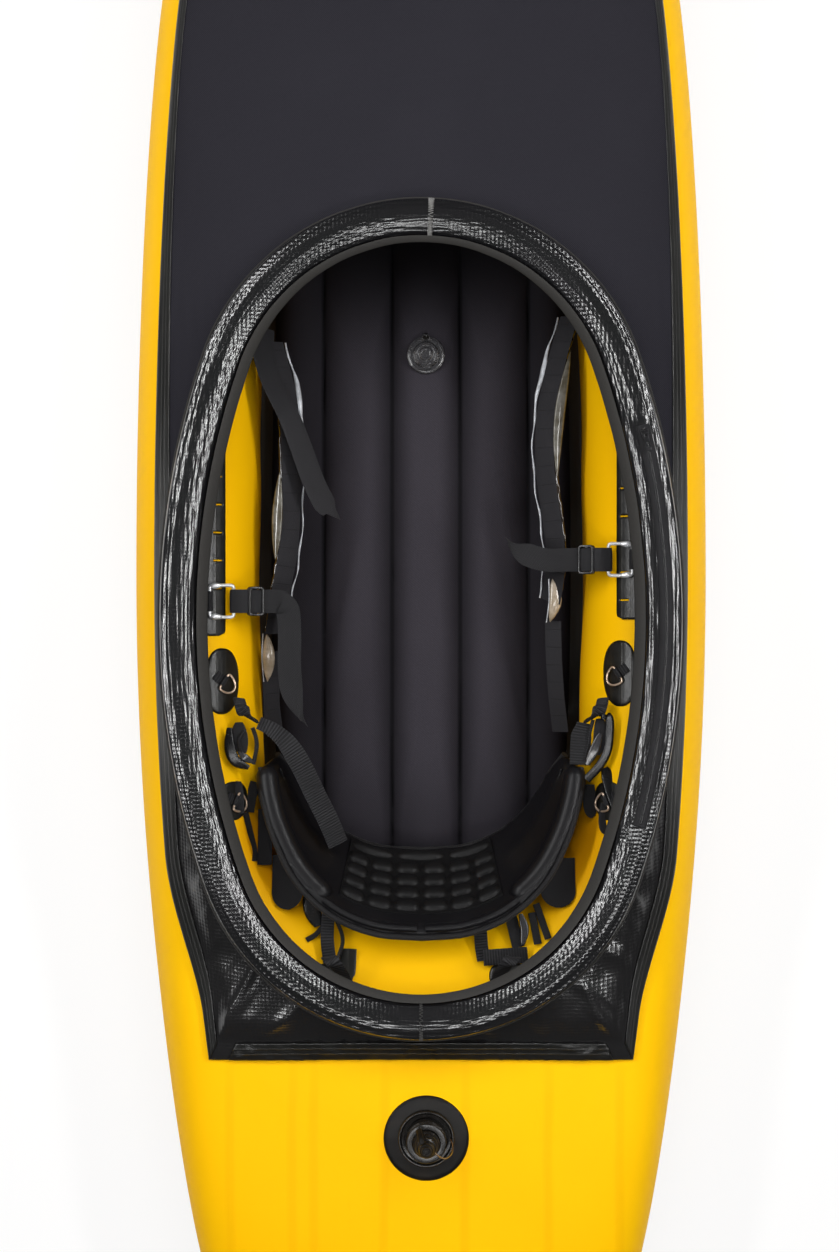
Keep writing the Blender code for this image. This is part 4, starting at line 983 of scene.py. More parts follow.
def make_coaming_edges(finish):
    """The matt band round the cockpit's edge, and the piping at the sleeve's outer edge."""
    top = [(-0.0300 - 0.0150 * t, 0.3290 - 0.0128 * t**1.2 + 0.0011 * math.sin(math.pi * t)) for t in
           [k / 8 for k in range(9)]]
    under = [(offset, height - 0.0016) for offset, height in reversed(top)]
    oval_strip("coaming_edge_band", top + under, finish, "coaming_inner_band", ends=1.0)
    rings = [2 * math.pi * k / 12 for k in range(12)]
    cord = [(0.0284 + 0.0017 * math.cos(a), 0.3165 + 0.0017 * math.sin(a)) for a in rings]
    oval_strip("coaming_edge_piping", cord, finish, "coaming_piping")


# Decks


def deck_point(outer, inner, t):
    place = outer.lerp(inner, t)
    start = hull_top(outer.x, outer.y) + DECK_CLEARANCE
    end = SLEEVE_Z - SLEEVE_HALF_HEIGHT - SLEEVE_CLEARANCE
    power = 1 - 0.4 * smooth_step(((inner - outer).length - 0.1) / 0.3)
    height = max(start + (end - start) * t**power, hull_top(place.x, place.y) + DECK_CLEARANCE)
    return Vector((place.x, place.y, height))


def deck_inset(y):
    return DECK_INSET + DECK_REAR_EXTRA * smooth_step((-0.45 - y) / 0.25)


def front_edge():
    """The front deck's outer edge, from starboard round the bow to port."""
    count = 220
    start = math.asin((COAMING_Y + DECK_HALF_GAP - WIDEST_Y) / STERN_REACH)
    edge = []
    for i in range(count + 1):
        angle = start + (math.pi - 2 * start) * i / count
        point = outline_point(angle)
        ahead = outline_point(angle + 0.01) - outline_point(angle - 0.01)
        inward = Vector((-ahead.y, ahead.x)).normalized()
        if i in (0, count):
            inward = Vector((-math.copysign(1, point.x), 0))
        edge.append(point + inward * DECK_INSET)
    return edge


def rear_edge():
    """The rear deck's outer edge: down the starboard side, across the stern and up the port side."""
    across = 110
    side = []
    first = COAMING_Y - DECK_HALF_GAP
    for i in range(REAR_EDGE_STEPS + 1):
        y = first + (DECK_REAR_Y - first) * i / REAR_EDGE_STEPS
        side.append(Vector((hull_half_width(y) - deck_inset(y), y)))
    corner = side[-1].x
    back = [Vector((corner * (1 - 2 * i / across), DECK_REAR_Y)) for i in range(1, across)]
    port = [Vector((-point.x, point.y)) for point in reversed(side)]
    return side + back + port


def front_folds(point):
    """Soft puckers beside the coaming and slack ahead of it."""
    x, y = point.x, point.y
    beside = smooth_step((0.52 - y) / 0.3) * smooth_step((abs(x) - 0.26) / 0.06)
    puckers = math.sin(abs(x) * 2 * math.pi / 0.021 + 2.4 * noise.noise(Vector((x * 6, y * 5, 4)))) * 0.0011
    slack = noise.noise(Vector((x * 3.2, y * 2.2, 9))) * 0.0040
    slack += noise.noise(Vector((x * 9, y * 6, 2))) * 0.0012
    return beside * puckers + slack


def rear_folds(point):
    """Sharp folds that run from the coaming to the deck's corners, over a slow billow."""
    x, y = point.x, point.y
    side = math.copysign(1, x)
    a, b = 0.62 * abs(x) - 0.78 * y, 0.78 * abs(x) + 0.62 * y
    swirl = noise.noise(Vector((x * 7, y * 7, 8))) * 0.35
    fold = 1 - min(abs(noise.noise(Vector((a * 3.2 + swirl, b * 11, 5 + side)))) * 3.4, 1)
    crease = 1 - min(abs(noise.noise(Vector((a * 7, b * 27 + swirl, 31 + side)))) * 3.0, 1)
    billow = noise.noise(Vector((x * 6, y * 7, 12 + side)))
    fine = noise.noise(Vector((x * 34, y * 34, 6)))
    return (0.0075 * fold**1.5 + 0.0028 * crease**2 + 0.0085 * billow + 0.0008 * fine + 0.0030) * smooth_step(
        (-0.14 - y) / 0.25)


def make_deck(name, edge, finish, node, folds):
    grid, steps = [], 34
    for outer in edge:
        inner = oval_towards(outer, DECK_TUCK)
        row = []
        for k in range(steps + 1):
            t = (k / steps) ** 1.25
            point = deck_point(outer, inner, t)
            from_edge = t * (inner - outer).length
            slack = smooth_step((from_edge - TAPE_WIDTH - 0.001) / 0.045) * smooth_step((1 - t) / 0.12)
            point.z += max(folds(point), -DECK_CLEARANCE * 0.6) * slack
            row.append(point)
        grid.append(row)
    mesh = grid_mesh(name, grid, face_up=True)
    return thicken(dress(name, mesh, finish, "root", [node]), 0.0009)


def make_tape(name, edge, finish, node, pucker=0.0):
    grid, columns = [], 12
    for outer in edge:
        inner = oval_towards(outer, DECK_TUCK)
        reach = (inner - outer).length
        row = []
        for k in range(columns + 1):
            point = deck_point(outer, inner, TAPE_WIDTH * k / columns / reach)
            ripple = noise.noise(Vector((point.x * 14, point.y * 10, 3))) * 0.0009
            sharp = 1 - min(abs(noise.noise(Vector((point.x * 42, point.y * 16, 7)))) * 3, 1)
            ripple += pucker * sharp**2
            row.append(point + Vector((0, 0, TAPE_LIFT + ripple)))
        grid.append(row)
    mesh = grid_mesh(name, grid, face_up=True)
    return thicken(dress(name, mesh, finish, "root", [node]), 0.0009)


def make_decks(deck_cloth, rear_cloth, tape):
    front, rear = front_edge(), rear_edge()
    front_cloth = make_deck("front_deck_cloth", front, deck_cloth, "front_deck", front_folds)
    back_cloth = make_deck("rear_deck_cloth", rear, rear_cloth, "rear_deck", rear_folds)
    middle, corner = len(front) // 2, REAR_EDGE_STEPS
    starboard = [Vector((0.003, front[middle].y))] + front[middle - 1:0:-1] + rear[1:corner + 1]
    port = [Vector((-point.x, point.y)) for point in starboard]
    make_tape("side_tape_starboard", starboard, tape, "deck_tape_starboard")
    make_tape("side_tape_port", port, tape, "deck_tape_port")
    reach = rear[corner].x - TAPE_WIDTH - 0.001
    hem = [Vector((reach * (1 - 2 * i / 120), DECK_REAR_Y)) for i in range(121)]
    make_tape("rear_hem_tape", hem, tape, "rear_hem", pucker=0.0028)


# Valves


def joint_of(name):
    """A joint's place and axis in the frame."""
    found = next(joint for joint in frame["record"]["behaviour"]["joints"] if joint["name"] == name)
    return Vector(found["pos_m"]), Vector(found["axis"])


def drape(name, centre, edge, lift, finish, node, crest):
    """A patch laid on the hull. edge(turn) is the way from its centre to its rim."""
    grid, around, rings = [], 72, 12
    for k in range(around):
        reach = edge(2 * math.pi * k / around)
        row = []
        for ring in range(rings + 1):
            t = ring / rings
            x, y = centre[0] + reach.x * t, centre[1] + reach.y * t
            rise = lift * (0.35 + 0.65 * smooth_step((1 - t) / 0.12)) + crest * math.exp(-(t / 0.4) ** 2)
            row.append((x, y, hull_top(x, y) + rise))
        grid.append(row)
    mesh = grid_mesh(name, grid, closed_u=True, face_up=True, weld=True)
    thicken(dress(name, mesh, finish, "root", [node]), 0.0012)


def oval_edge(radius_x, radius_y, power=0.85):
    def edge(turn):
        c, s = math.cos(turn), math.sin(turn)
        across = radius_x * math.copysign(abs(c) ** power, c)
        return Vector((across, radius_y * math.copysign(abs(s) ** power, s)))
    return edge


def ribbed(outer, depth, high, low, pitch):
    """The outer side of a ribbed neck, top to bottom."""
    side, height = [], high
    while height - pitch > low:
        side += [(outer, height), (outer, height - pitch * 0.6), (outer - depth, height - pitch * 0.7),
                 (outer - depth, height - pitch * 0.95)]
        height -= pitch
    return side


def neck(profile):
    """A profile in millimetres as metres, its heights stretched like the stern valve's neck."""
    return [(radius / 1000, height / 1000 * NECK_STRETCH) for radius, height in profile]


def make_stern_valve(plastic, rubber, amber):
    x, y = STERN_VALVE
    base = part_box("stern_valve_base")[0][2]
    centre = (x, y, base)
    grid, around = [], 96
    for k in range(around):
        turn = 2 * math.pi * k / around
        row = []
        for ring in range(17):
            radius = 0.021 + 0.0445 * ring / 16
            px, py = x + radius * math.cos(turn), y + radius * math.sin(turn)
            low = hull_top(px, py) + 0.0006 + 0.0012 * smooth_step((0.0655 - radius) / 0.004)
            rise = smooth_step((0.054 - radius) / 0.012)
            row.append((px, py, low + (max(base - 0.0003, low) - low) * rise))
        grid.append(row)
    skirt = grid_mesh("stern_valve_skirt", grid, closed_u=True, face_up=True)
    thicken(dress("stern_valve_skirt", skirt, rubber, "root", ["stern_valve_patch"]), 0.0010)
    ring = metres([(40, 7), (41.8, 7.2), (43.5, 5), (43.5, 0), (33, 0), (33, 3), (38, 3.4)])
    lathe("stern_valve_ring", ring, centre, plastic, "root", ["stern_valve_base"])
    ribs = ribbed(0.0304, 0.0014, 0.0192 * NECK_STRETCH, 0.0050 * NECK_STRETCH, 0.0062)
    collar = neck([(29, 20)]) + ribs + neck([(31.6, 4.6), (31.6, 1), (21.5, 1), (21.5, 20)])
    lathe("stern_valve_neck", collar, centre, plastic, "valve_collar",
          ["stern_valve_collar"], rule=lambda turn, radius: 1 + 0.006 * math.cos(40 * turn) * (radius > 0.03))
    stem = neck([(10.5, 40), (12.2, 38.5), (12.2, 36.5), (11, 36), (12.2, 35), (15, 34), (15, 32), (14, 31.6),
                 (15, 30.5), (17.5, 29), (17.5, 27), (16.4, 26.6), (17.5, 25.5), (20.5, 24), (20.5, 2),
                 (16.5, 2), (16.5, 22), (8, 32), (8, 40)])
    lathe("stern_valve_tube", stem, centre, plastic, "valve_stem", ["stern_valve_stem"])
    cap = neck([(0, 48.2), (3, 48.2), (3.6, 47.8), (5.2, 47.8), (5.6, 48.5), (7, 48.5), (7.6, 47),
                (7.8, 45.2), (9.8, 45), (10.4, 44), (10.4, 40.5), (0, 40.5)])
    lathe("stern_valve_plug", cap, centre, rubber, "valve_cap", ["stern_valve_cap"])
    tab = [Vector(centre) + point for point in metres([(-6, 10, 70), (-9, 19, 62), (-12, 26.5, 48)])]
    strap("stern_cap_tab", tab, 0.0085, rubber, "valve_cap", across=(1, 0.4, 0), thickness=0.0022)
    seat = metres([(37, 0, 8.2), (40, -5, 20), (38.5, -11, 43), (29, -13, 64), (19, -8, 70.5),
                   (12.8, -2, 71.2)])
    wire("stern_valve_cord", smooth_path([Vector(centre) + point for point in seat], 8), 0.0010, amber,
         "root", ["stern_valve_tether"], around=8)


def make_floor_valve(plastic, rubber):
    x, y = FLOOR_VALVE
    centre = Vector((x, y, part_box("floor_valve_base")[0][2]))
    flange = metres([(28.5, 4.2), (30, 4), (31, 2.5), (31, 0), (13.5, 0), (13.5, 9), (16.5, 9), (17.6, 6.6),
                     (20.5, 6.2), (21.4, 3.6), (25.5, 3.6), (26.8, 5)])
    lathe("floor_valve_flange", flange, centre, plastic, "root", ["floor_valve_base"])
    membrane = metres([(0, 3.4), (5, 3.4), (5.6, 3), (12.8, 3), (12.8, 2), (0, 2)])
    lathe("floor_valve_membrane", membrane, centre, rubber, "root", ["floor_valve_flap"])
    lid = metres([(0, 15), (6.2, 15), (7.4, 15.8), (9.6, 15.8), (10.6, 14.8), (10.8, 12.6), (13.8, 12),
                  (14.8, 12.7), (16, 12.7), (16.8, 12), (18.6, 12), (19.5, 11), (19.5, 9.5), (0, 9.5)])
    lathe("floor_valve_lid", lid, centre, plastic, "floor_cap", ["floor_valve_cap"])
    for n, (away, wide) in enumerate(((0.0150, 0.0030), (0.0210, 0.0048))):
        place = Matrix.Translation(centre + Vector((0.001, -away, 0.0126 - 0.0014 * n)))
        plate(f"floor_valve_lug_{n + 1}", [box_loop(wide, 0.0024, corner=0.0012)], 0.0034, 0.0008, place,
              plastic, "floor_cap", "black_plastic")
    seat = Vector((x, y, FLOOR_TOP))
    path = [seat + point for point in metres([(0, 23.5, 11.5), (0, 28, 11.2), (0, 33, 8.5), (0, 35, 2.5)])]
    strap("floor_valve_strap", path, 0.008, rubber, "root", ["floor_valve_tether"], across=(1, 0, 0),
          thickness=0.0015)
    for label, side in SIDES.items():
        knot = metres([(3.5, 22.2, 12.8), (6.2, 26.8, 14), (3, 32, 12), (0, 30, 12.5)], side)
        wire(f"floor_valve_string_{label}", smooth_path([seat + point for point in knot], 5), 0.0009, plastic,
             "root", around=8)


# Anchors


def make_ring(name, body, node, open_angle, side, finish):
    """A D-ring on its joint's axis, its bow turned the open way."""
    middle, axis = joint_of(body.replace("ring_", "ring_swing_"))
    bar = -axis
    slope_x = (hull_top(middle.x + 0.012, middle.y) - hull_top(middle.x - 0.012, middle.y)) / 0.024
    slope_y = (hull_top(middle.x, middle.y + 0.012) - hull_top(middle.x, middle.y - 0.012)) / 0.024
    away = bar.cross(Vector((-slope_x, -slope_y, 1)).normalized()).normalized()
    if away.dot(Vector((math.cos(open_angle) * side, math.sin(open_angle), 0))) < 0:
        away.negate()
    half, reach = 0.0135, 0.0230
    loop = [middle - bar * half, middle + bar * half]
    for k in range(1, 16):
        turn = math.pi * k / 16
        loop.append(middle + bar * half * 1.08 * math.cos(turn) + away * reach * math.sin(turn))
    wire(name, fillet(loop, 0.004, steps=3), 0.0017, finish, body, [node], normal=bar.cross(away),
         closed=True, around=12)
    return middle, bar, away


def make_keeper(name, middle, bar, radius, half, wall, web, steps):
    """A roll of webbing round a ring's bar."""
    profile = [(radius, half), (radius, -half), (radius - wall, -half), (radius - wall, half)]
    lathe(name, profile, middle, web, "root", direction=bar, steps=steps)


def make_anchor(kind, label, place, edge, open_angle, side, patch_finish, web, brass):
    name = f"{kind}_anchor_{label}"
    drape(f"{name}_weld", place, edge, 0.0022, patch_finish, f"{name}_patch", crest=0.0012)
    if kind == "rear":
        slope = (hull_top(place[0], place[1] + 0.012) - hull_top(place[0], place[1] - 0.012)) / 0.024
        middle = Vector((*place, hull_top(*place) + 0.0070))
        up = Vector((0, -slope, 1)).normalized()
        away = Vector((math.cos(open_angle) * side, math.sin(open_angle), 0))
        away = (away - up * away.dot(up)).normalized()
        bar = up.cross(away)
    else:
        middle, bar, away = make_ring(f"{name}_dee", f"{kind}_ring_{label}", f"{name}_ring", open_angle, side,
                                      brass)
    level = bar.cross(away).normalized()
    level *= math.copysign(1, level.z)
    make_keeper(f"{name}_keeper", middle, bar, 0.0046, 0.0082, 0.0013, web, 28)
    tail = [middle - away * back - level * down
            for back, down in ((0.0030, 0.0035), (0.0090, 0.0042), (0.0165, 0.0048))]
    strap(f"{name}_tail", tail, 0.0165, web, "root", across=tuple(bar), thickness=0.0022)


def make_anchors(patch_finish, web, brass):
    front = {"port": (0.307, -0.185), "starboard": (0.307, -0.173)}
    for label, side in SIDES.items():
        for kind, place, open_angle, radii in (
            ("front", front[label], math.radians(212), (0.024, 0.051)),
            ("middle", (0.290, -0.370), math.radians(200), (0.020, 0.030)),
            ("rear", (0.135, -0.640), math.radians(70), (0.030, 0.022)),
        ):
            make_anchor(kind, label, (place[0] * side, place[1]), oval_edge(*radii), open_angle, side,
                        patch_finish, web, brass)


def make_daisy_chain(label, side, low, high, finish, web):
    """A slotted strip with round corners along a tube's crest."""
    centre, half, corner = 0.3225, 0.021, 0.009
    slot_x, slot_half, pitch = centre - 0.010, 0.0065, 0.043
    slots = [low + 0.03 + pitch * n for n in range(12) if low + 0.03 + pitch * n < high - 0.02]
    slot_ends = [y + end for y in slots for end in (-0.0013, 0.0013)]
    slot_sides = [slot_x - slot_half, slot_x + slot_half]
    rows = sorted({round(value, 5) for value in [*np.linspace(low, high, 80), *slot_ends]})
    columns = np.linspace(centre - half, centre + half, 15)
    columns = sorted({round(value, 5) for value in [*columns, *slot_sides]})
    grid = []
    for y in rows:
        near = min(y - low, high - y, corner)
        drawn = half - corner + math.sqrt(max(corner**2 - (corner - near) ** 2, 0))
        row = []
        for x in columns:
            place = centre + max(min(x - centre, drawn), -drawn) if near < corner else x
            soft = noise.noise(Vector((x * 30, y * 18, 4 + side))) * 0.0005
            row.append((side * place, y, hull_top(side * place, y) + 0.0030 + soft))
        grid.append(row)
    name = f"daisy_chain_strip_{label}"
    mesh = grid_mesh(name, grid, face_up=True)
    shape = bmesh.new()
    shape.from_mesh(mesh)
    open_faces = []
    for face in shape.faces:
        middle = face.calc_center_median()
        if abs(abs(middle.x) - slot_x) < slot_half and any(abs(middle.y - y) < 0.0013 for y in slots):
            open_faces.append(face)
    bmesh.ops.delete(shape, geom=open_faces, context="FACES")
    bmesh.ops.dissolve_degenerate(shape, dist=0.00001, edges=shape.edges)
    shape.to_mesh(mesh)
    shape.free()
    thicken(dress(name, mesh, finish, "root", [f"daisy_chain_{label}"]), 0.0013)
    outer, _ = joint_of(f"ring_swing_{label}")
    make_keeper(f"strap_ring_keeper_{label}", outer, (0, 1, 0), 0.0052, 0.0155, 0.0015, web, 32)
    tail = [outer + point for point in metres([(2, 0, -4.6), (10, 0, -5.2), (19, 0, -6.6)], side)]
    strap(f"strap_ring_keeper_tail_{label}", tail, 0.031, web, "root", across=(0, 1, 0))


# Thigh straps


def beside(path, across, out, lift, first=0.0, last=1.0, pieces=8):
    """Points beside a strap: out along its width and lift above its face, over a share of its run."""
    path = smooth_path(path, pieces)
    end = len(path) - 1
    places = []
    for i, point in enumerate(path):
        if not first <= i / end <= last:
            continue
        along = (path[min(i + 1, end)] - path[max(i - 1, 0)]).normalized()
        wide = (Vector(across) - along * Vector(across).dot(along)).normalized()
        thick = along.cross(wide)
        thick *= math.copysign(1, thick.z)
        share = (i / end - first) / (last - first)
        far = out(share) if callable(out) else out
        places.append(point + wide * far + thick * lift)
    return places


def leaf(name, run, wide, reach, finish, body, bulge=0.002):
    """A lens of film along a run of points, spread to one side of it and bowed up a little."""
    run = smooth_path(run, 4)
    grid, columns = [], 6
    for i, point in enumerate(run):
        share = i / (len(run) - 1)
        full = max(math.sin(math.pi * share), 0.02) ** 0.8
        row = []
        for k in range(columns + 1):
            t = k / columns
            row.append(point + Vector(wide) * reach * full * (t - 0.3)
                       + Vector((0, 0, bulge * full * math.sin(math.pi * t))))
        grid.append(row)
    thicken(dress(name, grid_mesh(name, grid, face_up=True), finish, body), 0.0005)


THIGH = {
    "port": dict(
        y=-0.062,
        pad=[(234, 345, 172), (212, 260, 186), (206, 180, 194), (205, 100, 194), (210, 20, 190),
             (222, -45, 184), (233, -110, 168)],
        tail=[(214.5, -65.5, 233.5), (207.1, -73, 233), (204.2, -85, 233), (203, -121, 233),
              (203.5, -160, 233), (200, -199, 233), (191, -229, 233), (181, -250, 232.5)],
        front=[(246, 365, 205), (244, 320, 222), (229, 274, 228), (205, 226, 227), (187, 180, 224),
               (165, 120, 216), (140, 72, 204)],
        lower=[(236, -140, 160), (238, -180, 150), (238, -230, 135), (234, -275, 115)],
        shine=(0, 0.34), highlight_leaf_span=(0.4, 0.72), tan=[(243, -112, 181), (243, -188, 164)]),
    "starboard": dict(
        y=0.002,
        pad=[(236, 385, 172), (214, 310, 186), (198, 230, 194), (196, 150, 194), (206, 75, 190),
             (214, 5, 184), (207, -60, 168)],
        tail=[(196, 2, 226), (172, 8, 222), (150, 18, 218), (134, 32, 214)],
        front=[(240, 420, 205), (238, 460, 212), (228, 510, 208), (216, 560, 196)],
        lower=[(209, -92, 160), (211, -150, 150), (216, -210, 135), (224, -270, 115)],
        shine=(0.1, 0.3), highlight_leaf_span=(0.1, 0.56), tan=[(206, -26, 186), (203, -94, 176)]),
}


def make_thigh_strap(label, looks):
    """A thigh strap: its padding, its leaves and edge beads of film, which are painted highlights and a
    painted reflection, its webbing, its ring and its triglide.
    """
    side, at = SIDES[label], THIGH[label]
    body, y = f"strap_{label}", at["y"]
    tilt = (side * 0.75, 0, 0.66)
    run = metres(at["pad"], side)
    pad = strap(f"thigh_cover_{label}", run, 0.048, looks["vinyl"], body, [f"thigh_pad_{label}"], across=tilt,
                thickness=0.0085, pieces=8, faces=12,
                taper=lambda t: 0.72 + 0.28 * math.sin(math.pi * min(max(t, 0.12), 0.88)))
    inflate(pad, 0.0032, 3.0, 0.0016)
    strap(f"thigh_band_{label}", beside(run, tilt, 0.0030, 0.0072, pieces=2), 0.037, looks["tacked"], body,
          across=tilt, pieces=8, thickness=0.0018)
    gleam = sum(at["shine"]) / 2
    # Painted highlight: a pale glossy bead along the pad's inboard edge stands in for the light that edge
    # catches, thickest where the shine is brightest
    wire(f"thigh_edge_highlight_{label}", beside(run, tilt, lambda t: -0.0225 + 0.0018 * math.sin(40 * t), 0.0045),
         lambda t: 0.0013 + 0.0007 * math.sin(61 * t) * math.sin(23 * t)
         + 0.0034 * math.exp(-((t - gleam) / 0.07) ** 2), looks["clear"], body)
    # Painted highlight: a grey leaf of film where the pad's outboard side catches the light
    leaf(f"thigh_highlight_leaf_{label}", beside(run, tilt, 0.0245, 0.0060, *at["highlight_leaf_span"], 4), (side, 0, -0.25),
         0.0165, looks["grey"], body)
    # Painted reflection: a tan leaf of film where the glossy pad's end shows a warm reflection
    start, end = metres(at["tan"], side)
    holder = "root" if label == "port" else body
    middle = [start, start.lerp(end, 0.5) + Vector((side * 0.002, 0, 0.003)), end]
    leaf(f"thigh_end_{label}", middle, (1, 0, 0), 0.021, looks["tan"], holder, bulge=0.004)
    # Painted highlight: a pale bead along the end leaf's edge
    wire(f"thigh_end_edge_highlight_{label}", smooth_path([p + Vector((-0.0055, 0, 0.0015)) for p in middle], 6),
         0.0009, looks["clear"], holder)
    make_adjuster(label, side, y, metres(at["tail"], side), looks)
    strap(f"thigh_front_strap_{label}", metres(at["front"], side), 0.038, looks["matt_web"], body,
          [f"thigh_front_webbing_{label}"], across=(side * 0.85, 0.25, 0.45), slant=side * 0.013, pieces=8,
          taper=lambda t: 1 - 0.42 * smooth_step((t - 0.93) / 0.07))
    strap(f"thigh_lower_strap_{label}", metres(at["lower"], side), 0.027, looks["tacked"], "root",
          [f"thigh_lower_webbing_{label}"], across=(side * 0.9, 0.1, 0.43), pieces=8)
    make_strap_ring(label, looks["steel"])


def make_adjuster(label, side, y, tail, looks):
    """The webbing that runs up through the ring, back through the triglide and on as a loose tail."""
    body = f"strap_{label}"
    ring, _ = joint_of(f"thigh_strap_swing_{label}")
    keep, rise = Vector((side * 0.0052, 0, 0)), Vector((0, 0, 0.0052))
    shoulder = Vector((0, 0, 0.0038))
    lower = [(side * 0.205, y, 0.2140), (side * 0.222, y, 0.2240), (side * 0.245, y, 0.2345),
             (side * 0.268, y, ring.z - 0.0052)]
    wrap = [ring - rise, ring + keep * 0.75 - shoulder, ring + keep, ring + keep * 0.75 + shoulder,
            ring + rise]
    upper = [(side * 0.268, y, ring.z + 0.0050), (side * 0.245, y, 0.2460), (side * 0.222, y, 0.2365)]
    path = [Vector(point) for point in lower] + wrap + [Vector(point) for point in upper]
    level = [(0, 1, 0)] * len(path)
    for before, after in zip([path[-1]] + tail[:-1], tail[1:] + tail[-1:]):
        ahead = (after - before).normalized()
        level.append((side * ahead.y, -side * ahead.x, 0))
    strap(f"thigh_adjuster_{label}", path + tail, 0.036, looks["web"], body, [f"thigh_webbing_{label}"],
          pieces=5, across=level, taper=lambda t: 1 - 0.85 * smooth_step((t - 0.88) / 0.12), slant=0.008)
    turn = Matrix.Rotation(-side * math.atan2(0.009, 0.023), 4, "Y")
    stand = Matrix.Translation((side * 0.256, y, 0.2442)) @ turn
    rim = box_loop(0.0125, 0.0225, corner=0.006)
    slots = [box_loop(0.0036, 0.0185, across) for across in (-0.0058, 0.0058)]
    frame_of = (looks["plastic"], f"adjuster_{label}", "black_plastic")
    plate(f"triglide_frame_{label}", [rim, *slots], 0.0034, 0.0011, stand, *frame_of, [f"triglide_{label}"])
    raised = stand @ Matrix.Translation((0, 0, 0.0086))
    plate(f"triglide_rim_{label}", [rim, box_loop(0.0088, 0.0188, corner=0.003)], 0.0036, 0.0012, raised,
          *frame_of)
    for end, reach in (("fore", 0.0207), ("aft", -0.0207)):
        post = stand @ Matrix.Translation((0, reach, 0.0043))
        plate(f"triglide_end_{end}_{label}", [box_loop(0.0090, 0.0017, corner=0.001)], 0.0080, 0.0006, post,
              *frame_of)


def make_strap_ring(label, steel):
    """The oblong ring on the daisy chain, thicker at its ends."""
    outer, _ = joint_of(f"ring_swing_{label}")
    ring, _ = joint_of(f"thigh_strap_swing_{label}")
    half = Vector((0, 0.0245, 0))
    loop = fillet([outer + half, outer - half, ring - half, ring + half], 0.0055, steps=6)
    wire(f"strap_ring_wire_{label}", loop, 0.0027, steel, f"ring_{label}", [f"strap_ring_{label}"],
         normal=(outer - ring).cross(Vector((0, 1, 0))), closed=True, around=12)
    for end, sign in (("fore", 1), ("aft", -1)):
        shoe = [outer.lerp(ring, 0.03) + sign * half, outer.lerp(ring, 0.18) + Vector((0, sign * 0.0235, 0)),
                outer.lerp(ring, 0.5) + sign * half + Vector((0, 0, 0.0004))]
        wire(f"strap_ring_shoe_{end}_{label}", smooth_path(shoe, 6),
             lambda t: 0.0026 + 0.0024 * math.sin(math.pi * t) ** 1.5, steel, f"ring_{label}",
             normal=(0, 0, 1))


# Back band


BAND_UPPER, BAND_LOWER = (smooth_path(metres(run), 10) for run in (
    [(0, -572, 292), (70, -566, 290), (135, -540, 284), (188, -492, 276), (222, -430, 266),
     (240, -370, 256), (246, -318, 240)],
    [(0, -462, 100), (62, -458, 100), (115, -440, 103), (158, -408, 112), (188, -368, 128),
     (208, -330, 150), (226, -302, 178)],
))


def band_point(a, s, out):
    """A point on the back band: a runs from the port tip to the starboard tip, s from bottom to top."""
    t = min(abs(a), 1) * (len(BAND_UPPER) - 1)
    k = min(int(t), len(BAND_UPPER) - 2)
    top = BAND_UPPER[k].lerp(BAND_UPPER[k + 1], t - k)
    bottom = BAND_LOWER[k].lerp(BAND_LOWER[k + 1], t - k)
    sign = -1 if a < 0 else 1
    top, bottom = Vector((top.x * sign, top.y, top.z)), Vector((bottom.x * sign, bottom.y, bottom.z))
    outward = Vector((top.x, top.y + 0.25, 0)).normalized()
    rise = (top - bottom).normalized()
    outward = (outward - rise * outward.dot(rise)).normalized()
    return bottom.lerp(top, s) + outward * out


def bump(a, s):
    """The height of the moulded pad's rounded blocks: four rows of six, and three wide ones below."""
    if s < 0.235:
        across, up = (a / BUMP_REACH + 1) / 2 * 3, (s - 0.11) / 0.115
        tall = 0.0075
    else:
        across, up = (a / BUMP_REACH + 1) / 2 * 6, (s - 0.245) / 0.1425
        tall = 0.0072
    u, v = abs(2 * (across % 1) - 1), abs(2 * (up % 1) - 1)
    return tall * max(1 - (u / 0.90) ** 3.0 - (v / 0.84) ** 2.4, 0) ** 0.55


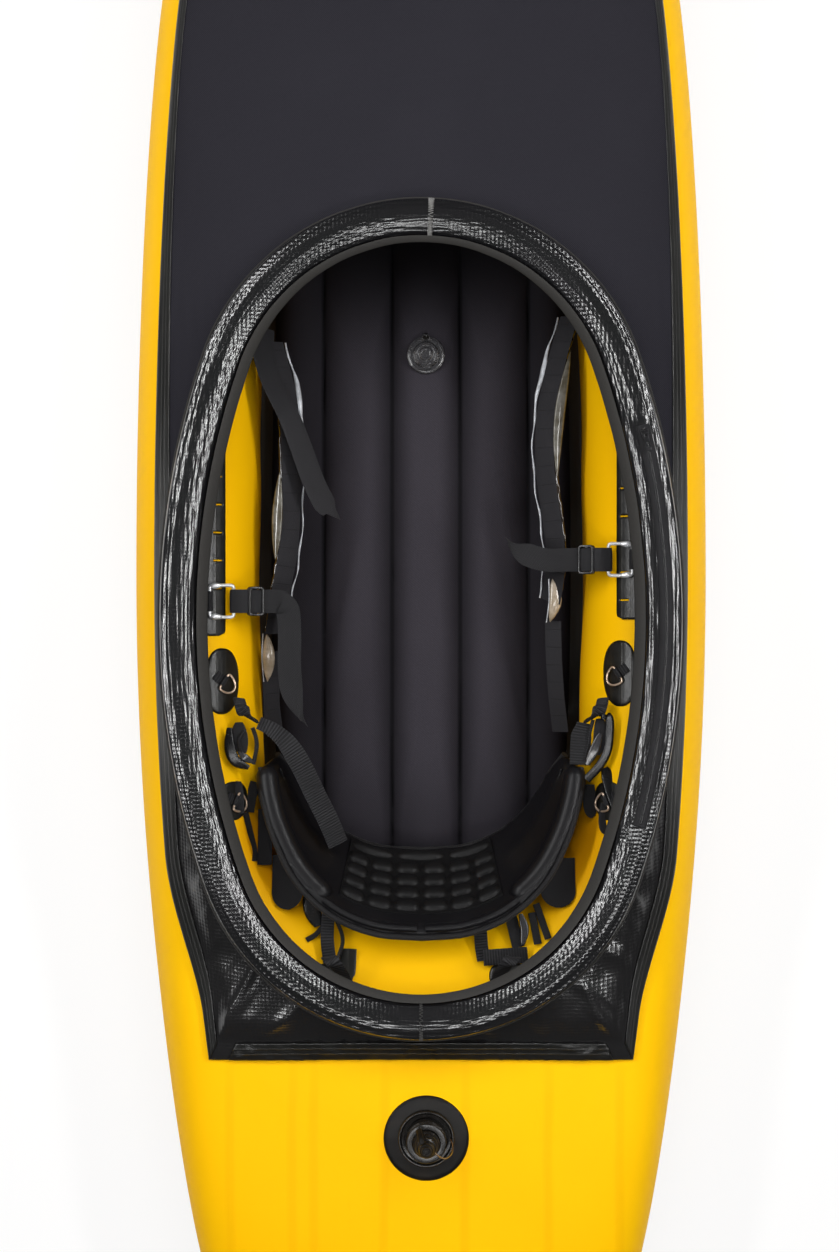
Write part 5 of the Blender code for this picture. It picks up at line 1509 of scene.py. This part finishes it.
def make_back_band(looks):
    grid = []
    stations, rows = 130, 26
    for i in range(stations + 1):
        a = 2 * i / stations - 1
        thin = math.sqrt(max(1 - max((abs(a) - 0.93) / 0.07, 0) ** 2, 0.05))
        wing = smooth_step((abs(a) - 0.34) / 0.08)
        ring = []
        for face in (-1, 1):
            for k in range(rows + 1):
                s = k / rows if face < 0 else 1 - k / rows
                half = 0.0085 + 0.0030 * math.sin(math.pi * s)
                if face < 0:
                    half -= wing * (0.0050 * math.exp(-((s - 0.66) / 0.13) ** 2)
                                    - 0.0022 * math.exp(-((s - 0.40) / 0.07) ** 2))
                ring.append(band_point(a, 0.012 + 0.976 * s, face * half * thin))
        grid.append(ring)
    mesh = grid_mesh("back_band_cover", grid, closed_v=True, caps=True)
    cover = dress("back_band_cover", mesh, looks["padding"], "band", ["back_band"])
    inflate(cover, 0.0048, 4.0, 0.0022)

    pad, wide, tall = [], 168, 96
    for i in range(wide + 1):
        a = BUMP_REACH * (2 * i / wide - 1)
        ring = [band_point(a, 0.10 + 0.72 * j / tall, -(0.0162 + bump(a, 0.10 + 0.72 * j / tall)))
                for j in range(tall + 1)]
        ring += [band_point(a, 0.82 - 0.72 * j / 8, -0.0122) for j in range(9)]
        pad.append(ring)
    mesh = sharpen(grid_mesh("back_band_blocks", pad, closed_v=True, caps=True), 1.0)
    blocks = dress("back_band_blocks", mesh, looks["foam"], "band", ["back_band_pad"])

    def along(first, last, s, out, count=40):
        return [band_point(first + (last - first) * k / count, s, out) for k in range(count + 1)]

    def roll(name, run, radius, finish, around):
        wire(name, run, radius, looks[finish], "band", around=around)

    for label, side in SIDES.items():
        roll(f"band_wing_roll_{label}", along(side * 0.365, side * 0.985, 0.862, -0.0035),
             lambda t: 0.0175 * min(1, (1 - t) / 0.12 + 0.25) ** 0.5 * min(1, t / 0.1 + 0.6), "padding",
             24)
        roll(f"band_top_roll_{label}", along(side * 0.016, side * 0.385, 0.955, -0.0085), 0.0062, "padding",
             16)
        roll(f"band_wing_seam_{label}", along(side * 0.40, side * 0.93, 0.46, -0.0128), 0.0017, "padding",
             8)
    roll("band_edge_binding", along(-1, 1, 1.0, 0.0015, 120), 0.0042, "binding", 12)
    roll("band_lower_binding", along(-1, 1, 0.0, 0.0, 120), 0.0050, "binding", 12)
    make_band_straps(looks["ribbed"])


BAND_HOOK = [(280, -212, 248), (275.5, -224, 259), (269, -234, 260), (261.5, -241, 254), (253.5, -246, 247)]
BAND_REAR = [(139, -608, 278), (141, -602, 296), (130, -610, 301), (120, -630, 282), (113, -652, 266)]
BAND_RUNS = {
    "port": [(250, -249, 245), (230, -259, 243), (208, -279, 239), (186, -314, 235), (164, -360, 229),
             (143, -404, 219), (129, -440, 208)],
    "starboard": [(250, -249, 244.5), (247, -266, 244.5), (245.5, -290, 243), (245, -314, 241.5)],
}


def make_band_straps(finish):
    for label, side in SIDES.items():
        strap(f"band_link_{label}", metres(BAND_HOOK, side), 0.021, finish, "band", [f"band_hook_{label}"],
              across=(side, 0.6, 0), thickness=0.0034, ribs=True)
        strap(f"band_side_strap_{label}", metres(BAND_RUNS[label], side), 0.033, finish, "band",
              [f"band_webbing_{label}"], across=(side * 0.86, -0.5, 0.30), pieces=8,
              taper=lambda t: 0.62 + 0.38 * smooth_step(t / 0.35), thickness=0.0019, ribs=True)
        strap(f"rear_side_strap_{label}", metres(BAND_REAR, side), 0.021, finish, "root",
              [f"rear_strap_{label}"], across=(side, 0, 0), pieces=8, ribs=True)


# Hooks, cords and loose webbing round the back band, and dark sheets of painted shade beside its wings:
# finish, body, width, outline and route

LOOSE_ENDS = {
    "port": {
        "hook_plate": ("plastic", "band", 17.5, "leaf",
            [(294, -256, 256), (293.5, -285, 257), (285, -307, 254), (265, -318, 248)]),
        "hook_back": ("web", "band", 26, "leaf", [(280, -248, 249), (279, -272, 250), (274, -296, 248)]),
        "hook_tongue": ("grey_valve", "band", 12, "leaf",
            [(279.7, -293, 252), (270.5, -302, 253), (260, -309, 247)]),
        "tube_tab": ("web", "root", 20, "leaf",
            [(282.8, -340, 230), (284.3, -359.7, 233), (278.2, -390, 234)]),
        "tube_fold": ("web", "root", 16.5, "square",
            [(258.2, -343, 206), (264.4, -367.4, 210), (267.4, -388.9, 218)]),
        "tube_strip": ("web", "root", 9.5, "square",
            [(272, -388.9, 225), (265, -420, 221), (259, -446, 220), (258.2, -464, 227)]),
        "seat_tab": ("web", "root", 22.5, "square",
            [(243.5, -386, 198), (243, -410, 205), (242.5, -440, 216), (242.5, -470, 226)]),
        # Painted shade: a dark sheet over the hull where the gap beside the back band's wing lies in deep
        # shadow
        "wing_gap_shade_sheet": ("web", "root", 48, "round",
            [(207, -456, 213), (207, -480, 218), (207, -510, 229), (207, -537, 240)]),
        "rear_leaf": ("plastic", "root", 26, "leaf",
            [(175.2, -513, 220), (169.1, -538.9, 226), (159, -564, 232)]),
        "rear_loose_strap": ("ribbed", "root", 20.5, "square",
            [(143, -544, 234), (144.5, -582, 244), (140, -618, 250)]),
        "rear_thin_strap": ("web", "root", 8, "square",
            [(177, -585, 236), (162, -576, 234), (148, -560, 229)]),
        "rear_flap": ("patch", "root", 25, "round", [(112, -599, 231), (113, -624, 239), (114, -645, 246)]),
    },
    "starboard": {
        "hook_back": ("web", "band", 24, "leaf", [(274, -242, 250), (277, -266, 251), (270, -298, 248)]),
        "hook_plate": ("plastic", "band", 13.5, "square",
            [(273.5, -236.8, 260), (288, -241.4, 259), (288.5, -272.1, 256), (285, -295.1, 253),
             (273.5, -315.9, 249), (255, -336.6, 244)]),
        "hook_tongue": ("grey_valve", "band", 15, "leaf",
            [(275, -265, 254), (265.8, -290.5, 254), (255, -312.5, 250)]),
        "tube_tab": ("plastic", "root", 24, "leaf",
            [(283, -319, 235), (293, -344.3, 237), (299, -380, 243)]),
        "tube_fold": ("web", "root", 21, "round",
            [(262.7, -347, 208), (262.7, -372, 213), (264.3, -398, 220)]),
        "tube_strip": ("web", "root", 14, "round",
            [(284.2, -374, 233), (281.2, -398.1, 233), (282.7, -421, 238)]),
        # Painted shade: a dark sheet over the hull where the gap beside the back band's wing lies in deep
        # shadow
        "wing_gap_shade_sheet": ("web", "root", 54, "round",
            [(212, -460, 218), (212, -480, 222), (212, -508, 232), (212, -534, 241)]),
        "rear_leaf": ("grey_valve", "root", 13, "leaf",
            [(153.6, -544, 238), (159.7, -567.1, 241), (156.7, -590, 245)]),
        "rear_loose_strap": ("ribbed", "root", 20.5, "square",
            [(91.5, -569, 227), (93.8, -597.9, 233), (96.8, -616, 240)]),
        "rear_ribbed_strap": ("ribbed", "root", 25, "square",
            [(96, -611, 244), (129, -608.6, 245), (164, -605.5, 248)]),
        "rear_dark_strap": ("web", "root", 19, "square",
            [(138.5, -550, 225), (144, -570, 231), (150, -595, 240)]),
        "rear_thin_strap": ("web", "root", 11, "square",
            [(178, -530, 227), (187, -556, 235), (196, -582, 243)]),
        "rear_short_strap": ("web", "root", 12, "square",
            [(171.5, -544, 227), (176, -568, 235), (180, -590, 243)]),
    },
}
LOOSE_CORDS = {
    "port": {
        "band_cord_outer": ("band", 3.3, [(259, -256, 251), (253.6, -272, 250), (253, -288, 248),
                                          (258.2, -312.5, 244)]),
        "band_cord_inner": ("band", 2.4, [(270, -260, 254), (279, -274, 255), (278.2, -286, 254),
                                          (274, -297, 251)]),
        "rear_cord": ("root", 3, [(134.5, -548, 229), (123, -574.8, 230), (121.5, -591.7, 237),
                                  (129.1, -613, 246)]),
    },
    "starboard": {
        "band_cord_outer": ("band", 3, [(264, -244, 254), (259, -264, 252), (256, -286, 248),
                                        (252, -308, 244)]),
    },
}
OUTLINES = {
    "square": None,
    "leaf": lambda t: 0.25 + 0.75 * math.sin(math.pi * (0.06 + 0.88 * t)) ** 0.8,
    "round": lambda t: math.sqrt(max(1 - max((t - 0.68) / 0.32, 0) ** 2, 0.03)),
}


def make_loose_ends(looks):
    for label, side in SIDES.items():
        for name, (finish, body, width, outline, run) in LOOSE_ENDS[label].items():
            route = metres(run, side)
            ahead = route[-1] - route[0]
            hard = finish in ("plastic", "grey_valve")
            strap(f"{name}_{label}", route, width / 1000, looks[finish], body, across=(-ahead.y, ahead.x, 0),
                  thickness=0.0034 if hard else 0.0020,
                  taper=OUTLINES[outline], pieces=10, faces=10, ribs=finish == "ribbed")
        for name, (body, radius, run) in LOOSE_CORDS[label].items():
            wire(f"{name}_{label}", smooth_path(metres(run, side), 22),
                 lambda t: radius / 1000 * (1 + 0.16 * math.sin(150 * t)), looks["ribbed"], body)


# Zip, seams and bottom


def oval_run(first, last, count):
    return [first + (last - first) * i / count for i in range(count + 1)]


def make_zip(tape, teeth, dark_metal):
    """The tape, the coil of teeth, the slider with two shoulders, and its pull."""
    top = SLEEVE_Z + SLEEVE_HALF_HEIGHT + 0.0005
    half = 0.0105
    grid, coil = [], []
    for angle in oval_run(ZIP_BACK, ZIP_FRONT, 240):
        row = []
        for k in range(19):
            offset = half * (k / 9 - 1)
            stitch = 0.0007 * math.exp(-((abs(offset) - 0.0062) / 0.0011) ** 2)
            edge = 0.0022 * (abs(offset) / half) ** 4
            row.append((*oval_point(angle, offset), top + 0.0011 + stitch - edge))
        grid.append(row)
    mesh = grid_mesh("zip_cloth", grid, face_up=True)
    thicken(dress("zip_cloth", mesh, tape, "root", ["zip_tape"]), 0.0011)
    for n, angle in enumerate(oval_run(ZIP_BACK + 0.004, ZIP_FRONT - 0.004, 860)):
        swell = 0.35 + 0.65 * abs(math.sin(math.pi * n / 3))
        row = []
        for k in range(8):
            turn = math.pi * k / 7
            height = top + 0.0006 + 0.0015 * swell * math.sin(turn)
            row.append((*oval_point(angle, 0.0026 * math.cos(turn)), height))
        coil.append(row)
    dress("zip_coil", grid_mesh("zip_coil", coil, face_up=True), teeth, "root")
    low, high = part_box("zip_slider")
    centre = (Vector(low) + Vector(high)) / 2
    place, axis = joint_of("zip_pull_swing")
    turned = Matrix.Rotation(math.atan2(-axis.y, -axis.x), 4, "Z")
    stand = Matrix.Translation(centre - Vector((0, 0, 0.0003))) @ turned
    outline = metres([(-6.2, 7.2), (-4.2, -7.2), (4.2, -7.2), (6.2, 7.2), (1.8, 5), (-1.8, 5)])
    plate("zip_slider_body", [fillet(outline, 0.0022, steps=5)], 0.0028, 0.0010, stand, dark_metal, "slider",
          "steel", ["zip_slider"])
    stand = Matrix.Translation(place + Vector((0, 0, 0.0001))) @ turned
    outline = metres([(-4.6, 1.6), (4.6, 1.6), (3.4, -7.5), (4.2, -25.5), (-4.2, -25.5), (-3.4, -7.5)])
    holes = [round_loop(0.0022, 0, -0.0022), box_loop(0.0017, 0.0042, 0, -0.0170, 0.0012)]
    plate("zip_pull_tab", [fillet(outline, 0.0022, steps=5), *holes], 0.0012, 0.0004, stand, dark_metal,
          "pull", "steel", ["zip_pull"])


def make_seam(name, angle, finish, width=0.0030, steps=34, radius=0.00042):
    """A joint across the sleeve, its thread laid to and fro over it."""
    points = []
    for k in range(steps + 1):
        turn = math.radians(8 + 160 * k / steps)
        offset, height = sleeve_section(turn)
        across = (width if k % 2 else -width) / OVAL_END
        place = oval_point(angle + across, offset * 1.015)
        points.append((place.x, place.y, SLEEVE_Z + height * 1.02 + 0.0013))
    wire(name, fillet(points, 0.0008, closed=False, steps=2), radius, finish, "root",
         around=6)


def make_bottom(finish):
    """The flat bottom sheet, its rim running a little way under the tubes."""
    across, along = 40, 120
    grid = []
    for i in range(along + 1):
        y = -1.02 + 2.0 * i / along
        half = hull_half_width(y) - TUBE_WIDTH / 2 + 0.015
        row = []
        for k in range(across + 1):
            ripple = 0.0002 * noise.noise(Vector((half * k, y * 9, 2)))
            row.append((half * (2 * k / across - 1), y, 0.0019 + ripple))
        grid.append(row)
    mesh = grid_mesh("bottom_sheet", grid, face_up=True)
    sheet = thicken(dress("bottom_sheet", mesh, finish, "root", ["bottom_skin"]), 0.0018)


# Stage


def make_stage():
    world = bpy.data.worlds.new("studio")
    bpy.context.scene.world = world
    world.use_nodes = True
    tree = world.node_tree
    background = tree.nodes["Background"]
    background.inputs["Color"].default_value = (1, 1, 1, 1)
    background.inputs["Strength"].default_value = 0.07
    shape = bpy.data.meshes.new("studio_floor")
    reach = 30
    shape.from_pydata([(-reach, -reach, 0), (reach, -reach, 0), (reach, reach, 0), (-reach, reach, 0)],
                      [], [(0, 1, 2, 3)])
    floor = bpy.data.objects.new("studio_floor", shape)
    bpy.context.scene.collection.objects.link(floor)
    floor.location.z = -0.001
    paper = bpy.data.materials.new("studio_paper")
    paper.use_nodes = True
    nodes, links = paper.node_tree.nodes, paper.node_tree.links
    shader = nodes["Principled BSDF"]
    shader.inputs["Base Color"].default_value = (0.86, 0.86, 0.86, 1)
    shader.inputs["Roughness"].default_value = 0.9
    seen = nodes.new("ShaderNodeLightPath")
    glow = nodes.new("ShaderNodeEmission")
    glow.inputs["Strength"].default_value = 1
    share = nodes.new("ShaderNodeMixShader")
    portion = nodes.new("ShaderNodeMath")
    portion.operation = "MULTIPLY"
    portion.inputs[1].default_value = 0.80
    links.new(seen.outputs["Is Camera Ray"], portion.inputs[0])
    links.new(portion.outputs[0], share.inputs["Fac"])
    links.new(shader.outputs[0], share.inputs[1])
    links.new(glow.outputs[0], share.inputs[2])
    links.new(share.outputs[0], nodes["Material Output"].inputs["Surface"])
    shape.materials.append(paper)


def make_lamp(name, place, aim, size, power, glossy=True):
    data = bpy.data.lights.new(name, "AREA")
    data.shape = "RECTANGLE"
    data.size, data.size_y = size
    data.energy = power
    lamp = bpy.data.objects.new(name, data)
    bpy.context.scene.collection.objects.link(lamp)
    lamp.location = place
    lamp.rotation_euler = (Vector(place) - Vector(aim)).to_track_quat("Z", "Y").to_euler()
    lamp.visible_camera = False
    lamp.visible_glossy = glossy


def make_lights():
    """Two long softboxes above the sides, a narrow one astern, and a silk that gloss doesn't show."""
    for label, side in SIDES.items():
        make_lamp(f"{label}_softbox", (side * 1.75, 0.55, 2.5), (0, 0.1, 0.2), (3.0, 0.24), 54)
    make_lamp("bow_silk", (0, 1.3, 3.3), (0, 0.1, 0), (2.6, 2.2), 58, glossy=False)
    make_lamp("stern_softbox", (0.15, -1.16, 2.7), (0.05, -0.6, 0.2), (1.7, 0.24), 17)


def make_camera():
    data = bpy.data.cameras.new("camera")
    camera = bpy.data.objects.new("camera", data)
    bpy.context.scene.collection.objects.link(camera)
    camera.location = CAMERA_PLACE
    data.lens = CAMERA_LENS
    data.sensor_width = 36
    bpy.context.scene.camera = camera


def make_looks():
    """The finishes that several pieces share."""
    return {
        "padding": padding_cloth(),
        "foam": foam_skin(),
        "vinyl": vinyl("brown_film", (0.0100, 0.0062, 0.0036), (0.0240, 0.0145, 0.0080)),
        # clear: pale glossy film used for painted highlights on the pads' edges
        "clear": vinyl("painted_edge_highlight_film", (0.300, 0.310, 0.330), (0.620, 0.640, 0.680), 0.12),
        # grey: film whose grey is a painted highlight
        "grey": vinyl("grey_highlight_film", (0.060, 0.052, 0.036), (0.150, 0.145, 0.130), 0.10),
        # tan: film whose colour is a painted reflection
        "tan": vinyl("tan_reflection_film", (0.240, 0.190, 0.130), (0.420, 0.360, 0.290), 0.22),
        "web": webbing_cloth("woven_webbing"),
        "matt_web": webbing_cloth("matt_webbing", 0.0019, 0.00010, (0.0095, 0.0092, 0.0105),
                                  (0.0190, 0.0185, 0.0210)),
        "ribbed": webbing_cloth("ribbed_webbing", RIB_PITCH, 0.0002, (0.0040, 0.0039, 0.0044),
                                (0.0260, 0.0255, 0.0280), stagger=0.0),
        "binding": webbing_cloth("stitched_binding", 0.0030, 0.00040, (0.0050, 0.0048, 0.0050),
                                 (0.0180, 0.0172, 0.0185)),
        "tacked": tacked_webbing(),
        "plastic": moulded("black_moulding", (0.0050, 0.0050, 0.0055), (0.0100, 0.0100, 0.0110), 0.24, 0.1),
        "valve": moulded("valve_moulding", (0.0060, 0.0053, 0.0048), (0.0120, 0.0108, 0.0100), 0.24, 0.1),
        "rubber": moulded("dusty_rubber", (0.0045, 0.0038, 0.0032), (0.0090, 0.0078, 0.0066), 0.36, 0.15,
                          0.16),
        "grey_valve": moulded("grey_valve_moulding", (0.0220, 0.0215, 0.0240), (0.0460, 0.0455, 0.0490), 0.20,
                              0.1, 0.8),
        "amber": vinyl("amber_cord", (0.090, 0.045, 0.016), (0.210, 0.120, 0.050), 0.18),
        "steel": metal("polished_steel", (0.74, 0.75, 0.77), (0.93, 0.93, 0.94), 0.28, 0.6),
        "brass": metal("pink_brass", (0.66, 0.48, 0.35), (0.92, 0.72, 0.56), 0.28, 0.75),
        "dark_metal": metal("black_metal", (0.028, 0.028, 0.030), (0.060, 0.060, 0.063), 0.32),
        "rod": metal("anodised_rod", (0.42, 0.42, 0.44), (0.60, 0.60, 0.62), 0.34),
        "patch": coated_patch(),
    }


def make_rods(looks):
    for name, finish in {"coaming_rod_front": "rod", "coaming_rod_rear": "rod", "rod_ferrule_port": "steel",
                         "rod_ferrule_starboard": "steel"}.items():
        for place in frame["nodes"][name].material_slots:
            place.material = looks[finish]


def build():
    bpy.context.scene.view_settings.view_transform = "Standard"
    make_camera()
    make_stage()
    make_lights()
    looks = make_looks()
    deck = twill("deck_twill", (0.0125, 0.0119, 0.0158), (0.0235, 0.0227, 0.0285))
    floor = twill("floor_twill", (0.0215, 0.0195, 0.0245), (0.0390, 0.0355, 0.0440), 0.0026, painted_shade=True)
    tape = tape_cloth()
    make_hull(yellow_coated())
    make_bottom(tape)
    make_floor(floor)
    make_decks(deck, ripstop(), tape)
    make_sleeve(sleeve_cloth())
    make_coaming_edges(band_cloth())
    make_rods(looks)
    make_zip(looks["web"], looks["plastic"], looks["dark_metal"])
    thread = webbing_cloth("dark_thread", 0.0012, 0.0001, (0.040, 0.039, 0.038), (0.100, 0.098, 0.095))
    pale = webbing_cloth("pale_thread", 0.0012, 0.0001, (0.090, 0.088, 0.086), (0.300, 0.295, 0.285))
    make_seam("coaming_seam_front", math.pi / 2 - 0.045, pale, 0.0042, 64, 0.00050)
    make_seam("coaming_seam_rear", -math.pi / 2, thread)
    make_stern_valve(looks["valve"], looks["rubber"], looks["amber"])
    make_floor_valve(looks["grey_valve"], looks["rubber"])
    make_anchors(looks["patch"], looks["ribbed"], looks["brass"])
    make_daisy_chain("port", -1, -0.115, 0.205, looks["patch"], looks["web"])
    make_daisy_chain("starboard", 1, -0.090, 0.280, looks["patch"], looks["web"])
    for label in SIDES:
        make_thigh_strap(label, looks)
    make_back_band(looks)
    make_loose_ends(looks)


build()
